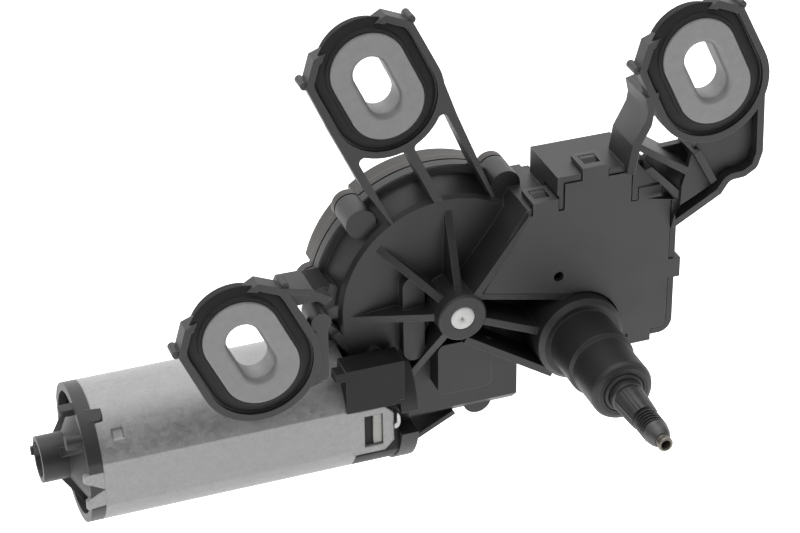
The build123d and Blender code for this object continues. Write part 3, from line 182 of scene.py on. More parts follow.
class Shade:
    """A socket that takes part in Python sums: each operator adds its Math node."""

    def __init__(self, recipe, socket):
        self.recipe = recipe
        self.socket = socket

    def _maths(self, operation, first, second):
        return self.recipe.node("ShaderNodeMath", {"operation": operation}, {0: first, 1: second})

    def __add__(self, other):
        return self._maths("ADD", self, other)

    def __radd__(self, other):
        return self._maths("ADD", other, self)

    def __sub__(self, other):
        return self._maths("SUBTRACT", self, other)

    def __rsub__(self, other):
        return self._maths("SUBTRACT", other, self)

    def __mul__(self, other):
        return self._maths("MULTIPLY", self, other)

    def __rmul__(self, other):
        return self._maths("MULTIPLY", other, self)

    def __truediv__(self, other):
        return self._maths("DIVIDE", self, other)

    def clamp(self):
        """The same value, held between 0 and 1."""
        return self.recipe.node(
            "ShaderNodeMath", {"operation": "ADD", "use_clamp": True}, {0: self, 1: 0.0})

    def above(self, edge, width):
        """0 below an edge and 1 above it, with a soft step between."""
        return ((self - edge) / width + 0.5).clamp()


class Recipe:
    """The nodes of one material or world, and the single method that each of them comes from."""

    def __init__(self, owner, shader="Principled BSDF"):
        owner.use_nodes = True
        self.owner = owner
        self.tree = owner.node_tree
        self.shader = self.tree.nodes[shader]

    def node(self, kind, settings=None, sockets=None, output=0):
        """Add a node, set it up, feed its sockets and give back one of its outputs."""
        made = self.tree.nodes.new(kind)
        for key, value in (settings or {}).items():
            setattr(made, key, value)
        for key, value in (sockets or {}).items():
            self.put(made.inputs[key], value)
        return Shade(self, made.outputs[output])

    def put(self, socket, value):
        """Feed a socket with a link, a colour or a plain value, or leave it as it is."""
        if value is None:
            return
        if isinstance(value, Shade):
            self.tree.links.new(value.socket, socket)
        elif socket.type == "RGBA":
            socket.default_value = (*value, 1.0)
        else:
            socket.default_value = value

    def set(self, **values):
        """Feed the shader's own sockets, named with underscores for spaces."""
        for name, value in values.items():
            self.put(self.shader.inputs[name.replace("_", " ")], value)

    def places(self, stretch=(1.0, 1.0, 1.0)):
        """Object coordinates, stretched along an axis where a grain follows it."""
        coordinates = self.node("ShaderNodeTexCoord", output="Object")
        return self.node("ShaderNodeMapping", None, {"Vector": coordinates, "Scale": stretch})

    def noise(self, size, detail=3.0, rough=0.5, vector=None):
        """Noise whose blotches are about so many metres across."""
        return self.node(
            "ShaderNodeTexNoise", None,
            {"Vector": vector or self.places(), "Scale": 1.0 / size, "Detail": detail,
             "Roughness": rough})

    def mix(self, factor, first, second):
        """The first colour where the factor is 0 and the second where it is 1."""
        return self.node(
            "ShaderNodeMix", {"data_type": "RGBA"}, {0: factor, 6: first, 7: second}, output=2)

    def edges(self, radius):
        """Normals that run round every edge, as on a moulded or tumbled piece."""
        return self.node("ShaderNodeBevel", {"samples": 6}, {"Radius": radius})

    def edge_mask(self, radius):
        """1 on sharp edges, 0 on flats."""
        geometry = self.node("ShaderNodeNewGeometry", output="Normal")
        along = self.node(
            "ShaderNodeVectorMath", {"operation": "DOT_PRODUCT"},
            {0: self.edges(radius), 1: geometry}, output="Value")
        return (1.0 - along).clamp()

    def bump(self, height, depth, strength, edge):
        """Normals of a grain so many metres deep, on top of edges rounded by a radius."""
        return self.node(
            "ShaderNodeBump", None,
            {"Height": height, "Distance": depth, "Strength": strength,
             "Normal": self.edges(edge)})


def toned(tone, share, lift=0.0):
    """A colour made paler or darker by a share, and lifted a little."""
    return tuple(min(1.0, part * share + lift) for part in tone)


def moulded_plastic(recipe, tone, gloss=0.42, sheen=0.5, edge=0.35 * MM, grain=0.35 * MM):
    """Black glass-filled plastic: a fine grain, cloudy gloss and slightly paler edges, partly wear and partly a
    painted edge highlight.
    """
    cloud = recipe.noise(9 * MM, detail=4.0, rough=0.6)
    fibre = recipe.noise(0.5 * MM, detail=2.0, rough=0.7)
    speck = recipe.noise(grain, detail=2.0, rough=0.6)
    spots = (cloud.above(0.52, width=0.5) * 0.55 + fibre.above(0.62, width=0.2) * 0.3).clamp()
    # Paler edges: partly wear, partly a painted highlight along the rounded edges.
    wear_and_highlight = (recipe.edge_mask(edge) * 3.0).clamp()
    body = recipe.mix(spots, tone, toned(tone, 1.55, lift=0.006))
    recipe.set(
        Base_Color=recipe.mix(wear_and_highlight * 0.9, body, toned(tone, 2.4, lift=0.13)),
        Roughness=gloss + cloud * 0.16 - wear_and_highlight * 0.05,
        Normal=recipe.bump(speck, depth=0.05 * MM, strength=0.55, edge=edge),
        Specular_IOR_Level=sheen)


def zinc_plate(recipe, tone):
    """Dull zinc-plated steel, mottled and faintly scuffed."""
    blotch = recipe.noise(3.2 * MM, detail=5.0, rough=0.65)
    grit = recipe.noise(0.25 * MM, detail=2.0, rough=0.6)
    recipe.set(
        Base_Color=recipe.mix(blotch.above(0.5, width=0.55), toned(tone, 0.72), tone),
        Roughness=0.5 + blotch * 0.22,
        Normal=recipe.bump(grit, depth=0.04 * MM, strength=0.5, edge=0.3 * MM),
        Metallic=0.55)


def galvanised_steel(recipe, tone):
    """The can's galvanised sheet: soft crystals, pale blooms and fine draw marks."""
    crystal = 1.5 * MM
    crystals = recipe.node(
        "ShaderNodeTexVoronoi", {"feature": "F1"},
        {"Vector": recipe.places(), "Scale": 1.0 / crystal, "Randomness": 1.0}, output="Color")
    spangle = recipe.node("ShaderNodeSeparateColor", None, {"Color": crystals})
    bloom = recipe.noise(4.0 * MM, detail=6.0, rough=0.7)
    grit = recipe.noise(0.7 * MM, detail=3.0, rough=0.7)
    draw = recipe.noise(
        1.2 * MM, detail=3.0, rough=0.6, vector=recipe.places(stretch=(0.06, 1.0, 1.0)))
    spots = (
        spangle * 0.3 + bloom.above(0.5, width=0.5) * 0.3
        + grit.above(0.5, width=0.35) * 0.28 + draw * 0.12).clamp()
    recipe.set(
        Base_Color=recipe.mix(spots, toned(tone, 0.72), toned(tone, 1.3, lift=0.02)),
        Roughness=0.4 + spangle * 0.14 + bloom * 0.12,
        Normal=recipe.bump(draw + bloom * 0.4, depth=0.06 * MM, strength=0.4, edge=0.9 * MM),
        Metallic=0.6)


def turned_steel(recipe, tone, metal=0.85, rough=0.34):
    """Turned steel with rings round the spindle's axis."""
    rings = recipe.noise(
        0.35 * MM, detail=2.0, rough=0.5, vector=recipe.places(stretch=(0.05, 1.0, 0.05)))
    stain = recipe.noise(4 * MM, detail=4.0, rough=0.6)
    recipe.set(
        Base_Color=recipe.mix(stain.above(0.5, width=0.6), toned(tone, 0.7), tone),
        Roughness=rough + stain * 0.14,
        Normal=recipe.bump(rings, depth=0.03 * MM, strength=0.5, edge=0.12 * MM),
        Metallic=metal)


def dull_rubber(recipe, tone):
    """Black rubber with a faint pale bloom."""
    bloom = recipe.noise(4 * MM, detail=4.0, rough=0.7)
    pores = recipe.noise(0.3 * MM, detail=2.0, rough=0.6)
    pale = toned(tone, 1.5, lift=0.004)
    recipe.set(
        Base_Color=recipe.mix(bloom.above(0.55, width=0.4), tone, pale),
        Roughness=0.6 + bloom * 0.2,
        Normal=recipe.bump(pores, depth=0.04 * MM, strength=0.5, edge=0.3 * MM),
        Specular_IOR_Level=0.35)


def plain_metal(recipe, tone):
    """Inner metal pieces: even, with a fine grain."""
    grain = recipe.noise(0.8 * MM, detail=3.0, rough=0.6)
    recipe.set(
        Base_Color=recipe.mix(grain, toned(tone, 0.75), tone),
        Roughness=0.35 + grain * 0.15,
        Normal=recipe.bump(grain, depth=0.02 * MM, strength=0.5, edge=0.15 * MM),
        Metallic=0.9)


def plain_moulding(recipe, tone):
    """Inner mouldings, the board and the like."""
    grain = recipe.noise(1.0 * MM, detail=3.0, rough=0.6)
    recipe.set(
        Base_Color=recipe.mix(grain, toned(tone, 0.82), tone),
        Roughness=0.5 + grain * 0.1,
        Normal=recipe.bump(grain, depth=0.03 * MM, strength=0.4, edge=0.2 * MM))


FINISHES = {}  # each material slot's finish, once mix_finishes has made it


def mix_finishes(scene):
    """Make the finish of every material slot that the record names."""
    mouldings = scene.wiper_mouldings
    plastic = tuple(mouldings.plastic)
    moulded = {"edge": mouldings.edge, "grain": mouldings.grain}
    recipes = {
        "housing_plastic": (moulded_plastic, plastic, {"sheen": 0.52, **moulded}),
        "cover_plastic": (moulded_plastic, mouldings.rear, {}),
        "cap_plastic": (moulded_plastic, toned(plastic, 1.25), {}),
        # The brush holder's darker black is painted shade: its block lies in the arm's shadow.
        "brush_plastic": (moulded_plastic, toned(plastic, 0.6), {"gloss": 0.5, "sheen": 0.3}),
        "box_cover_plastic": (moulded_plastic, mouldings.cover, {"gloss": 0.5, "sheen": 0.7}),
        "wheel_plastic": (plain_moulding, (0.75, 0.72, 0.62), {}),
        "board_laminate": (plain_moulding, (0.03, 0.16, 0.06), {}),
        "carbon": (plain_moulding, (0.03, 0.03, 0.03), {}),
        "gasket_rubber": (dull_rubber, (0.02, 0.02, 0.02), {}),
        "seal_rubber": (moulded_plastic, toned(plastic, 0.9), {"gloss": 0.5, "sheen": 0.6}),
        "grommet_rubber": (dull_rubber, mouldings.rubber, {}),
        "can_steel": (galvanised_steel, scene.wiper_motor.steel, {}),
        "sleeve_zinc": (zinc_plate, scene.wiper_mounts.steel, {}),
        "screw_steel": (zinc_plate, (0.45, 0.45, 0.43), {}),
        "bright_steel": (turned_steel, (0.46, 0.462, 0.455), {}),
        "spindle_steel": (turned_steel, scene.wiper_spindle.steel, {"metal": 0.8, "rough": 0.38}),
        "link_steel": (plain_metal, (0.4, 0.4, 0.39), {}),
        "worm_steel": (plain_metal, (0.42, 0.42, 0.41), {}),
        "core_iron": (plain_metal, (0.2, 0.2, 0.2), {}),
        "magnet_ferrite": (plain_moulding, (0.08, 0.08, 0.08), {}),
        "bush_bronze": (plain_metal, (0.5, 0.34, 0.16), {}),
        "pin_brass": (plain_metal, (0.55, 0.5, 0.4), {}),
        "tube_brass": (turned_steel, (0.21, 0.195, 0.165), {}),
        "winding_copper": (plain_metal, (0.5, 0.18, 0.06), {}),
        "commutator_copper": (plain_metal, (0.6, 0.28, 0.13), {}),
    }
    for slot, (finish, tone, looks) in recipes.items():
        material = bpy.data.materials.new(slot.replace("_", " "))
        finish(Recipe(material), tuple(tone), **looks)
        FINISHES[slot] = material


def clear():
    """Leave edit mode and select nothing."""
    if bpy.context.mode != "OBJECT":
        bpy.ops.object.mode_set(mode="OBJECT")
    bpy.ops.object.select_all(action="DESELECT")


def take(*pieces):
    """Select these pieces alone, the first as the active one."""
    clear()
    for piece in pieces:
        piece.select_set(True)
    bpy.context.view_layer.objects.active = pieces[0]


def work_on(piece, kind="VERT"):
    """Open one piece in edit mode with nothing selected."""
    take(piece)
    bpy.ops.object.mode_set(mode="EDIT")
    bpy.ops.mesh.select_mode(type=kind)
    bpy.ops.mesh.select_all(action="DESELECT")


def pick(test, kind="verts"):
    """Select the open mesh's vertices or edges for which a test holds."""
    bpy.ops.mesh.select_all(action="DESELECT")
    mesh = bpy.context.edit_object.data
    chosen = [item for item in getattr(bmesh.from_edit_mesh(mesh), kind) if test(item)]
    if not chosen:
        raise RuntimeError(f"nothing to pick on {bpy.context.edit_object.name}")
    for item in chosen:
        item.select_set(True)
    bmesh.update_edit_mesh(mesh)


def weld(piece, distance):
    """Open one piece in edit mode with all of it selected, and merge its close corners."""
    work_on(piece)
    bpy.ops.mesh.select_all(action="SELECT")
    bpy.ops.mesh.remove_doubles(threshold=distance)


def settle(piece, curve=TURNED_CURVE):
    """Apply a piece's place, close its seams, point its faces outwards and smooth its curves."""
    take(piece)
    bpy.ops.object.transform_apply(location=True, rotation=True, scale=True)
    weld(piece, SEAM)
    bpy.ops.mesh.normals_make_consistent(inside=False)
    bpy.ops.object.mode_set(mode="OBJECT")
    bpy.ops.object.shade_smooth_by_angle(angle=curve)


def belong(piece, body, slot, *nodes):
    """Give a piece its finish, its body and the CAD nodes that it stands for."""
    piece.data.materials.clear()
    piece.data.materials.append(FINISHES[slot])
    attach(piece, body)
    if nodes:
        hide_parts(*nodes)


def in_metres(profile):
    """A turned profile, given in millimetres along the axis and out from it."""
    return [(distance * MM, radius * MM) for distance, radius in profile]


def turned(name, rings, sides=64, foot=(0, 0, 0), along=FORWARD, closed=True):
    """Draw one circle out from ring to ring, each a distance and a radius.

    Closed, the last ring meets the first; otherwise the first and last are filled.
    """
    clear()
    foot, along = Vector(foot), Vector(along)
    half_step = Matrix.Rotation(math.pi / sides, 3, "Z")
    turn = (along.to_track_quat("Z", "Y").to_matrix() @ half_step).to_euler()
    bpy.ops.mesh.primitive_circle_add(
        vertices=sides, radius=rings[0][1], fill_type="NOTHING",
        location=foot + along * rings[0][0], rotation=turn)
    piece = bpy.context.active_object
    piece.name = name
    work_on(piece)
    bpy.ops.mesh.select_all(action="SELECT")
    if not closed:
        bpy.ops.mesh.edge_face_add()
    path = rings + [rings[0]] if closed else rings
    for (start, radius), (end, wider) in zip(path, path[1:]):
        bpy.ops.mesh.extrude_region_move(TRANSFORM_OT_translate={"value": along * (end - start)})
        share = wider / radius
        bpy.ops.transform.resize(value=(share, share, share), center_override=foot + along * end)
    settle(piece)
    return piece


def oblong(name, rings, sides):
    """A turned ring pulled apart upwards and downwards.

    Each ring has its depth, its radius and half the run that it is pulled apart by.
    """
    piece = turned(name, [(-depth, radius) for depth, radius, run in rings], sides)
    work_on(piece)
    for run in sorted({run for depth, radius, run in rings}):
        circles = [(depth, radius) for depth, radius, own in rings if own == run]
        for way in (1, -1):
            pick(lambda v: way * v.co.z > 0 and any(
                abs(v.co.y - depth) < NEAR and abs(math.hypot(v.co.x, v.co.z) - radius) < NEAR
                for depth, radius in circles))
            bpy.ops.transform.translate(value=(0, 0, way * run))
    bpy.ops.object.mode_set(mode="OBJECT")
    return piece


def round_edges(piece, test, radius, steps=3):
    """Bevel the edges for which a test on their two ends holds."""
    work_on(piece, "EDGE")
    pick(lambda edge: all(test(v.co) for v in edge.verts), "edges")
    bpy.ops.mesh.bevel(offset=radius, segments=steps, affect="EDGES", clamp_overlap=True)
    bpy.ops.object.mode_set(mode="OBJECT")


def plate(name, outline, front, thick, edge=0.0):
    """A flat plate with an outline in x and z, in millimetres.

    It is drawn back from its front face and eased round that face's rim.
    """
    clear()
    bpy.ops.mesh.primitive_circle_add(vertices=len(outline), radius=MM, fill_type="NOTHING")
    piece = bpy.context.active_object
    piece.name = name
    for vertex, (x, z) in zip(piece.data.vertices, outline):
        vertex.co = (x * MM, front, z * MM)
    work_on(piece)
    bpy.ops.mesh.select_all(action="SELECT")
    bpy.ops.mesh.edge_face_add()
    bpy.ops.mesh.extrude_region_move(TRANSFORM_OT_translate={"value": (0, thick, 0)})
    settle(piece, PLATE_CURVE)
    if edge:
        round_edges(piece, lambda p: p.y < front + NEAR, edge, steps=2)
    return piece


def smooth(piece, curve):
    """Shade a piece smoothly but for its sharp edges, with its broad faces kept flat."""
    take(piece)
    bpy.ops.object.shade_smooth_by_angle(angle=curve)
    flat = piece.modifiers.new("flat faces", "WEIGHTED_NORMAL")
    flat.keep_sharp = True
    bpy.ops.object.modifier_apply(modifier=flat.name)


def smooth_copy(node, name, curve):
    """A merged copy of a CAD node, without the node's own normals, smooth over its curves."""
    clear()
    piece = bpy.data.objects.new(name, NODES[node].data.copy())
    bpy.context.scene.collection.objects.link(piece)
    take(piece)
    bpy.ops.mesh.customdata_custom_splitnormals_clear()
    weld(piece, WELD)
    bpy.ops.object.mode_set(mode="OBJECT")
    smooth(piece, curve)
    return piece


def cut(piece, tool):
    """Take one closed piece out of another, and clear the slivers that the cut may leave."""
    take(piece)
    knife = piece.modifiers.new("cut", "BOOLEAN")
    knife.operation = "DIFFERENCE"
    knife.solver = "EXACT"
    knife.object = tool
    bpy.ops.object.modifier_apply(modifier=knife.name)
    bpy.data.objects.remove(tool)
    weld(piece, WELD)
    bpy.ops.mesh.dissolve_degenerate(threshold=WELD)
    bpy.ops.mesh.delete_loose(use_faces=True)
    bpy.ops.object.mode_set(mode="OBJECT")


def join(*pieces):
    """Join pieces into the first, which keeps its name."""
    take(*pieces)
    bpy.ops.object.join()
    return pieces[0]


def duplicate(piece, name):
    """A copy of a piece with its own mesh."""
    take(piece)
    bpy.ops.object.duplicate(linked=False)
    copy = bpy.context.active_object
    copy.name = name
    return copy


def on_can(piece, angle):
    """Turn a piece about the motor's axis, from the can's front to an angle above it."""
    place = Matrix.Translation(MOTOR_AXIS) @ Matrix.Rotation(-angle, 4, "X")
    piece.matrix_world = place @ Matrix.Translation(-MOTOR_AXIS) @ piece.matrix_world


def ear_place(name):
    """The middle of an ear's sleeve on its front face."""
    low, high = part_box("sleeve_" + name)
    return Vector(((low.x + high.x) / 2, low.y, (low.z + high.z) / 2))


class WIPER_OT_finishes(bpy.types.Operator):
    """Finish every CAD node, also those that a modelled piece will stand for"""
    bl_idname = "wiper.finishes"
    bl_label = "Finish the CAD nodes"

    def execute(self, context):
        mix_finishes(context.scene)
        for entry in frame["record"]["subparts"]:
            materials = NODES[entry["node"]].data.materials
            materials.clear()
            materials.append(FINISHES[entry["material_slot"]])
        return {"FINISHED"}


class WIPER_OT_marks(bpy.types.Operator):
    """Model the web that closes the right arm and the round mould mark on the housing"""
    bl_idname = "wiper.marks"
    bl_label = "Arm web and mould mark"

    def execute(self, context):
        outline = [
            (52.3, 74.2), (53.0, 60.1), (51.8, 55.2), (48.8, 53.2), (44.6, 53.4),
            (42.6, 52.1), (39.9, 48.3), (30.0, 43.4), (30.2, 50.0), (32.0, 56.5),
            (33.7, 63.0), (37.7, 65.2), (47.1, 67.6)]
        web = plate("arm_web", outline, front=-2.5 * MM, thick=1.6 * MM)
        belong(web, "housing", "housing_plastic")
        profile = (
            (0.0, 0.55), (0.0, 1.5), (0.3, 1.45), (0.45, 1.2), (0.45, 1.0), (0.1, 0.95),
            (0.1, 0.55))
        mark = turned("mould_mark", in_metres(profile), sides=32, foot=DRUM_MARK)
        belong(mark, "housing", "housing_plastic")
        return {"FINISHED"}


class WIPER_OT_mounts(bpy.types.Operator):
    """Model one steel sleeve and one rubber grommet, and copy them into the three ears"""
    bl_idname = "wiper.mounts"
    bl_label = "Sleeves and grommets"

    def sleeve(self, sizes):
        """A flanged sleeve whose oblong slot widens softly at its mouth."""
        bore, neck, brim = 5.0 * MM, 8.4 * MM, 11.7 * MM
        slot_run, step, back = 5.0 * MM, 1.6 * MM, 8.6 * MM
        rings = [
            (back, bore, slot_run), (back, neck, EAR_RUN), (step, neck, EAR_RUN),
            (step, brim, EAR_RUN), (0.0, brim, EAR_RUN), (0.0, bore, slot_run)]
        piece = oblong("sleeve", rings, sizes.sides)

        def in_slot(place, margin):
            """Whether a place lies within the slot's outline, widened by a margin."""
            return abs(place.x) < bore + margin and abs(place.z) < bore + slot_run + margin

        round_edges(piece, lambda p: p.y < NEAR and in_slot(p, 0.5 * MM), sizes.mouth, steps=5)
        round_edges(piece, lambda p: p.y < NEAR and not in_slot(p, 3 * MM), sizes.brim, steps=2)
        return piece

    def grommet(self, sizes):
        """A rubber ring round the sleeve, with a lip in front and a groove round its middle."""
        profile = (
            (1.6, 8.45), (1.6, 11.75), (0.6, 11.8), (0.6, 12.5), (0.9, 12.9), (1.5, 13.0),
            (1.7, 13.4), (2.45, 15.6), (2.65, 15.9), (2.65, 12.3), (5.4, 12.3), (5.4, 14.0),
            (8.2, 14.0), (8.2, 8.45))
        rings = [(depth, radius, EAR_RUN) for depth, radius in in_metres(profile)]
        piece = oblong("grommet", rings, sizes.sides)
        back, bore = 8.1 * MM, 9 * MM  # just short of the back, and just outside the bore
        round_edges(
            piece, lambda p: p.y > back and max(abs(p.x), abs(p.z) - EAR_RUN) > bore, sizes.lip)
        return piece

    def execute(self, context):
        sizes = context.scene.wiper_mounts
        for kind, slot, make in (
                ("sleeve", "sleeve_zinc", self.sleeve),
                ("grommet", "grommet_rubber", self.grommet)):
            first = make(sizes)
            for name in EAR_NAMES:
                piece = duplicate(first, f"{kind}_{name}_modelled")
                piece.location = ear_place(name)
                piece.rotation_euler = (0, -EAR_TILT, 0)
                settle(piece)
                belong(piece, "housing", slot, f"{kind}_{name}")
            bpy.data.objects.remove(first)
        return {"FINISHED"}


class WIPER_OT_spindle(bpy.types.Operator):
    """Model the spindle with its knurled taper and thread, the tube in its tip and its seal"""
    bl_idname = "wiper.spindle"
    bl_label = "Spindle"

    def shaft(self, sizes):
        """The turned spindle, with every other row of the taper pressed in as a knurl."""
        profile = (
            (-39.4, 2.2), (-39.4, 5.0), (31.0, 5.0), (32.0, 5.2), (34.3, 5.2), (34.5, 5.0),
            (34.6, 4.6), (35.0, 4.6), (35.3, 5.05), (45.4, 4.35), (45.7, 4.15), (45.8, 3.3),
            (46.1, 2.95), (52.4, 2.95), (52.7, 3.5), (52.9, 3.95), (53.2, 4.0), (53.5, 3.86),
            (54.4, 3.78), (56.0, 3.45), (57.2, 2.95), (57.9, 2.5), (58.0, 2.2))
        piece = turned("spindle_modelled", in_metres(profile), sides=2 * sizes.teeth)
        work_on(piece)
        start, end = 35.1 * MM, 45.6 * MM
        bore, taper = 4 * MM, 4.8 * MM  # clear of the bore, and the taper's mean radius
        step = math.pi / sizes.teeth
        pick(lambda v: start < -v.co.y < end and math.hypot(v.co.x, v.co.z) > bore
             and round(math.atan2(v.co.z, v.co.x) / step - 0.5) % 2)
        share = 1 - sizes.knurl / taper
        bpy.ops.transform.resize(value=(share, 1, share), center_override=(0, 0, 0))
        bpy.ops.object.mode_set(mode="OBJECT")
        return piece

    def thread(self, sizes):
        """One thread's profile, drawn round the spindle by a Screw modifier."""
        clear()
        start = -45.8 * MM
        inner = sizes.root - 0.25 * MM  # sunk into the shaft
        corners = ((inner, 0.04), (sizes.crest, 0.3), (sizes.crest, 0.52), (inner, 0.8))
        bpy.ops.mesh.primitive_circle_add(
            vertices=len(corners), radius=1.0, fill_type="NOTHING")
        ridge = bpy.context.active_object
        ridge.name = "thread"
        for vertex, (radius, share) in zip(ridge.data.vertices, corners):
            vertex.co = (radius, start - share * sizes.pitch, 0)
        screw = ridge.modifiers.new("thread", "SCREW")
        screw.axis = "Y"
        screw.steps = screw.render_steps = 40
        screw.iterations = 5
        screw.screw_offset = -sizes.pitch
        screw.use_merge_vertices = False
        bpy.ops.object.modifier_apply(modifier=screw.name)
        work_on(ridge)
        bpy.ops.mesh.select_non_manifold(extend=False)
        bpy.ops.mesh.edge_face_add()
        bpy.ops.object.mode_set(mode="OBJECT")
        settle(ridge)
        return ridge

    def tube(self):
        """The tube through the spindle, with a small nozzle at its tip."""
        profile = (
            (-39.4, 1.35), (-39.4, 2.18), (57.9, 2.18), (58.3, 2.1), (59.0, 2.12), (59.7, 2.3),
            (60.2, 2.32), (60.5, 2.15), (60.6, 1.85), (60.45, 1.55), (60.0, 1.35))
        return turned("tip_tube", in_metres(profile), sides=40)

    def seal(self):
        """The seal's face, flush with the nose, with a fine groove and a lip at the spindle."""
        profile = (
            (27.0, 5.3), (27.0, 7.38), (30.9, 7.38), (31.0, 7.25), (31.0, 6.7), (30.4, 6.62),
            (30.4, 6.4), (31.05, 6.34), (31.5, 6.0), (31.75, 5.6), (31.7, 5.3))
        return turned("nose_seal", in_metres(profile))

    def execute(self, context):
        sizes = context.scene.wiper_spindle
        belong(self.seal(), "housing", "seal_rubber", "spindle_seal")
        piece = join(self.shaft(sizes), self.thread(sizes))
        belong(piece, "spindle", "spindle_steel", "spindle")
        belong(self.tube(), "spindle", "tube_brass", "washer_tube")
        return {"FINISHED"}


class WIPER_OT_motor(bpy.types.Operator):
    """Model the motor's can, its end cap and the strap at the can's window"""
    bl_idname = "wiper.motor"
    bl_label = "Motor can and cap"

    def dimple(self, sizes):
        """A wedge that presses a dimple into the can's shoulder, deep at its upper edge."""
        proud, deep, shallower = 1.0 * MM, 0.9 * MM, 0.45 * MM
        half = sizes.dimple / 2 / MM
        middle, level = CAN_LEFT / MM + 6.1, MOTOR_AXIS.z / MM
        outline = [
            (middle + across * half, level + up * half)
            for across, up in ((-1, -1), (1, -1), (1, 1), (-1, 1))]
        skin = MOTOR_AXIS.y - CAN_RADIUS
        tool = plate("dimple", outline, skin - proud, proud + deep)
        work_on(tool)
        pick(lambda v: v.co.y > skin and v.co.z < MOTOR_AXIS.z)
        bpy.ops.transform.translate(value=(0, -shallower, 0))
        bpy.ops.object.mode_set(mode="OBJECT")
        on_can(tool, DIMPLE_ANGLE)
        settle(tool)
        return tool

    def can(self, sizes):
        """The can with its dimple and the two crimped tabs of its window."""
        can = smooth_copy("motor_can", "can_modelled", CAN_CURVE)
        cut(can, self.dimple(sizes))
        smooth(can, CAN_CURVE)
        left = CAN_LEFT / MM
        outlines = (
            [(-5.7, -16.0), (0.2, -16.0), (0.2, -22.4), (-0.5, -22.4), (-5.7, -19.5),
             (-6.3, -18.9), (-6.3, -16.6)],
            [(0.2, -22.4), (0.2, -28.4), (-5.4, -28.9), (-5.9, -28.4), (-5.9, -25.6),
             (-5.4, -25.0), (-0.5, -22.4)])
        proud, edge = 0.02 * MM, 0.3 * MM
        tabs = [
            plate("crimped_tab", [(left + x, z) for x, z in outline], CAN_FACE - proud,
                  sizes.wall, edge)
            for outline in outlines]
        return join(can, *tabs)

    def cap(self):
        """The end cap with its hollow boss, the lug that locks the can, its peg and its nub."""
        cap = smooth_copy("end_cap", "cap_modelled", CAP_CURVE)
        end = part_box("end_cap")[0].x
        depth, proud = 5 * MM, 1 * MM
        hollow = turned(
            "hollow", [(-end - depth, 5.2 * MM), (-end + proud, 5.95 * MM)], sides=48,
            foot=MOTOR_AXIS, along=(-1, 0, 0), closed=False)
        cut(cap, hollow)
        smooth(cap, CAP_CURVE)
        left, level, tip, skin = CAN_LEFT / MM, MOTOR_AXIS.z / MM, end / MM, CAN_RADIUS / MM
        fittings = []
        # How far each one's face lies from the axis, its thickness and its edge's radius, in mm
        for name, angle, reach, thick, edge, outline in (
                ("cap_lug", LUG_ANGLE, skin + 0.15, 1.6, 0.25, [
                    (left - 1.5, -2.6), (left + 1.9, -2.6), (left + 3.0, -1.2),
                    (left + 3.0, 1.6), (left - 1.5, 2.0)]),
                ("cap_peg", PEG_ANGLE, skin - 0.6, 2.6, 0.3, [
                    (left - 9.1, -1.0), (left - 8.5, -1.5), (left - 4.0, -1.5),
                    (left - 4.0, 1.5), (left - 8.5, 1.5), (left - 9.1, 1.0)]),
                ("cap_nub", NUB_ANGLE, 7.2, 1.3, 0.2, [
                    (tip - 1.0, -1.3), (tip + 0.5, -1.5), (tip + 0.5, 1.5), (tip - 1.0, 1.3)])):
            outline = [(x, level + z) for x, z in outline]
            piece = plate(name, outline, MOTOR_AXIS.y - reach * MM, thick * MM, edge * MM)
            on_can(piece, angle)
            settle(piece, PLATE_CURVE)
            fittings.append(piece)
        return join(cap, *fittings)

    def strap(self):
        """The steel strap in the can's window, a dark sheet beside it that paints the deep window's shade, and the
        hook at its end.
        """
        # How far each one's face lies behind the can's, its thickness and its edge's radius, in mm
        for name, slot, behind, thick, edge, outline in (
                ("brush_strap", "screw_steel", 0.7, 0.8, 0.2, [
                    (-66.2, -27.6), (-63.3, -27.6), (-63.3, -16.8), (-66.2, -16.8)]),
                # A dark sheet in the window's left part: painted shade where the window is a deep, unlit hole.
                ("strap_pad", "gasket_rubber", 1.3, 0.5, 0.1, [
                    (-69.3, -28.4), (-66.4, -28.4), (-66.4, -16.9), (-69.3, -16.9)]),
                ("strap_hook", "bright_steel", -0.9, 1.8, 0.12, [
                    (-59.7, -22.4), (-59.0, -22.6), (-58.1, -21.9), (-57.7, -20.6),
                    (-57.8, -18.6), (-58.3, -17.2), (-58.8, -17.0), (-58.9, -18.2),
                    (-58.8, -20.3), (-59.7, -21.0)])):
            piece = plate(name, outline, CAN_FACE + behind * MM, thick * MM, edge * MM)
            belong(piece, "housing", slot)

    def execute(self, context):
        belong(self.can(context.scene.wiper_motor), "housing", "can_steel", "motor_can")
        belong(self.cap(), "housing", "cap_plastic", "end_cap")
        self.strap()
        return {"FINISHED"}


class WIPER_OT_hub_pin(bpy.types.Operator):
    """Model the bright pin in the hub, with its rounded rim and centre hole"""
    bl_idname = "wiper.hub_pin"
    bl_label = "Hub pin"

    def execute(self, context):
        low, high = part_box("wheel_axle")
        radius = (high.x - low.x) / 2
        foot = Vector(((low.x + high.x) / 2, 0, (low.z + high.z) / 2))
        front, rear, core = -low.y, -high.y, 0.1 * MM
        rings = [
            (rear, 1.0 * MM), (rear, radius), (front - 0.5 * MM, radius),
            (front - 0.15 * MM, radius - 0.15 * MM), (front, radius - 0.5 * MM),
            (front, 0.9 * MM), (front - 0.35 * MM, 0.25 * MM), (front - 0.4 * MM, core),
            (rear + 1 * MM, core)]
        pin = turned("hub_pin", rings, sides=48, foot=foot)
        belong(pin, "housing", "bright_steel", "wheel_axle")
        return {"FINISHED"}


